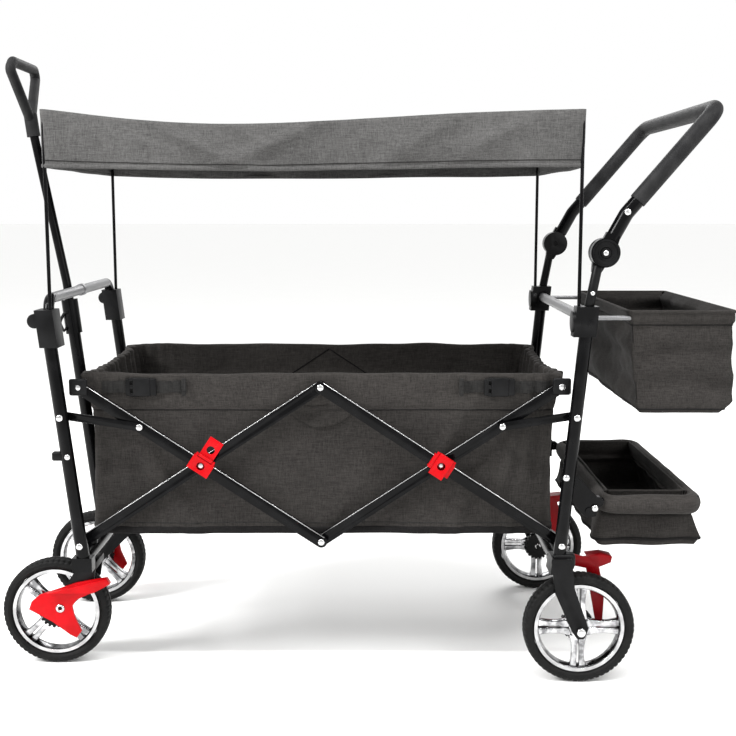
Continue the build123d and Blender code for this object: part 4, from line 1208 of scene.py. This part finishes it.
hub = {"pin": 0.0046, "pinHeight": 0.0016, "sunk": 0.003,
       # radius and height of the stepped ring on the hub's face
       "steps": ((0.0092, 0.0), (0.0098, 0.0018), (0.0120, 0.0020), (0.0128, 0.0006), (0.0186, 0.0004),
                 (0.0196, 0.0020), (0.0218, 0.0020), (0.0226, 0.0), (0.0226, -0.0020), (0.0092, -0.0020))}
hubLow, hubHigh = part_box("hub_button_left")
hubCentre = (hubLow + hubHigh) / 2
for side, hand in hands:
    outer = hubLow.y if hand < 0 else -hubLow.y
    pin = addDome("buttonPin_" + side, (hubCentre.x, outer, hubCentre.z), hub["pin"], hub["pinHeight"], hand)
    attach(pin, f"hub_button_{side}")
    for holder in frame["nodes"][f"hub_button_{side}"].material_slots:
        holder.material = finishes["blackPlastic"]
    ring = lathe("hubFace_" + side, [(r, hand * up) for r, up in hub["steps"]],
                 (hubCentre.x, outer - hand * hub["sunk"], hubCentre.z), "blackPlastic", 64)
    smoothTo(ring, 35)
    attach(ring, "push_bar")
grip = roundEdges("push_grip", "foam")
print("hubs dressed")

# snap pins on the arms below the foam grip, on the stubs under the hubs and at the brackets
pins = {"armPins": ("push_bar", (hubCentre.x + 0.034, -0.2638, hubCentre.z + 0.066), 0.0056),
        "stubPins": ("rear_frame", (hubCentre.x - 0.019, -0.2626, hubCentre.z - 0.066), 0.0040),
        "bracketBolts": ("rear_frame", (rearX + 0.005, -0.2632, 0.359), 0.0058)}
for name, (body, place, radius) in pins.items():
    addRivets(name, body, [place], radius)
armLow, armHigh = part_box("rear_arm_left")
wheelLow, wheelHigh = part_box("rear_tyre_left")
axle = (wheelLow + wheelHigh) / 2
addRivets("axleBolts", "rear_frame", [(axle.x, armLow.y + 0.0006, axle.z)], 0.0076)

# stop pegs on the fronts of the front posts
peg = {"z": 0.395, "y": 0.252, "ahead": 0.018, "front": 0.010, "rear": 0.012, "halfWide": 0.0075, "lower": 0.008,
       "upper": 0.007, "edge": 0.003, "rivet": 0.0050}
postLow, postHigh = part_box("front_post_left")
share = (peg["z"] - postLow.z) / (postHigh.z - postLow.z)
pegX = postHigh.x + (postLow.x - postHigh.x) * share - peg["ahead"]
for side, hand in hands:
    y = hand * peg["y"]
    block = addBlock("postPeg" + side.title(), (pegX - peg["front"], y - peg["halfWide"], peg["z"] - peg["lower"]),
                     (pegX + peg["rear"], y + peg["halfWide"], peg["z"] + peg["upper"]), peg["edge"], "blackPlastic")
    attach(block, "front_frame")
addRivets("pegRivets", "front_frame", [(pegX + peg["ahead"], postHeadY, peg["z"])], peg["rivet"])

# bright washers round the pins of the front brake levers
washer = {"outFromLever": 0.006,
          "steps": ((0.0036, -0.0008), (0.0036, 0.0016), (0.0052, 0.0022), (0.0074, 0.0016), (0.0080, -0.0008))}
for joint in frame["record"]["behaviour"]["joints"]:
    if joint["name"].startswith("front_brake_press"):
        side = joint["name"].rsplit("_", 1)[1]
        hand = dict(hands)[side]
        low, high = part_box(f"front_brake_{side}")
        x, _, z = joint["pos_m"]
        y = hand * (min(abs(low.y), abs(high.y)) + washer["outFromLever"])
        disc = lathe("leverWasher_" + side, [(r, hand * up) for r, up in washer["steps"]], (x, y, z), "rimEdge", 40)
        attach(disc, f"front_brake_lever_{side}")

# black covers over the lower ends of the rear posts
hinge = {"inner": 0.2420, "outer": 0.2655, "front": 0.014, "rear": 0.024, "lower": 0.036, "upper": 0.014,
         "edge": 0.005}
for side, hand in hands:
    y0, y1 = hand * hinge["inner"], hand * hinge["outer"]
    block = addBlock("hingeCover" + side.title(), (rearX - hinge["front"], min(y0, y1), pivotZ - hinge["lower"]),
                     (rearX + hinge["rear"], max(y0, y1), pivotZ - hinge["upper"]), hinge["edge"], "blackPlastic")
    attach(block, "rear_frame")

# spring hook hanging at the pole's collar
hook = {"y": -0.013, "radius": 0.0030,  # bends in X and Z
        "bends": ((-0.540, 0.616), (-0.549, 0.612), (-0.555, 0.602), (-0.555, 0.588), (-0.550, 0.580),
                  (-0.545, 0.586))}
hookLine = [Vector((x, hook["y"], z)) for x, z in hook["bends"]]
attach(addTube("collarHook", hookLine, hook["radius"], "blackPlastic", 10), "pull_pole")
print("small parts set")

low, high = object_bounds()
print("scene done")
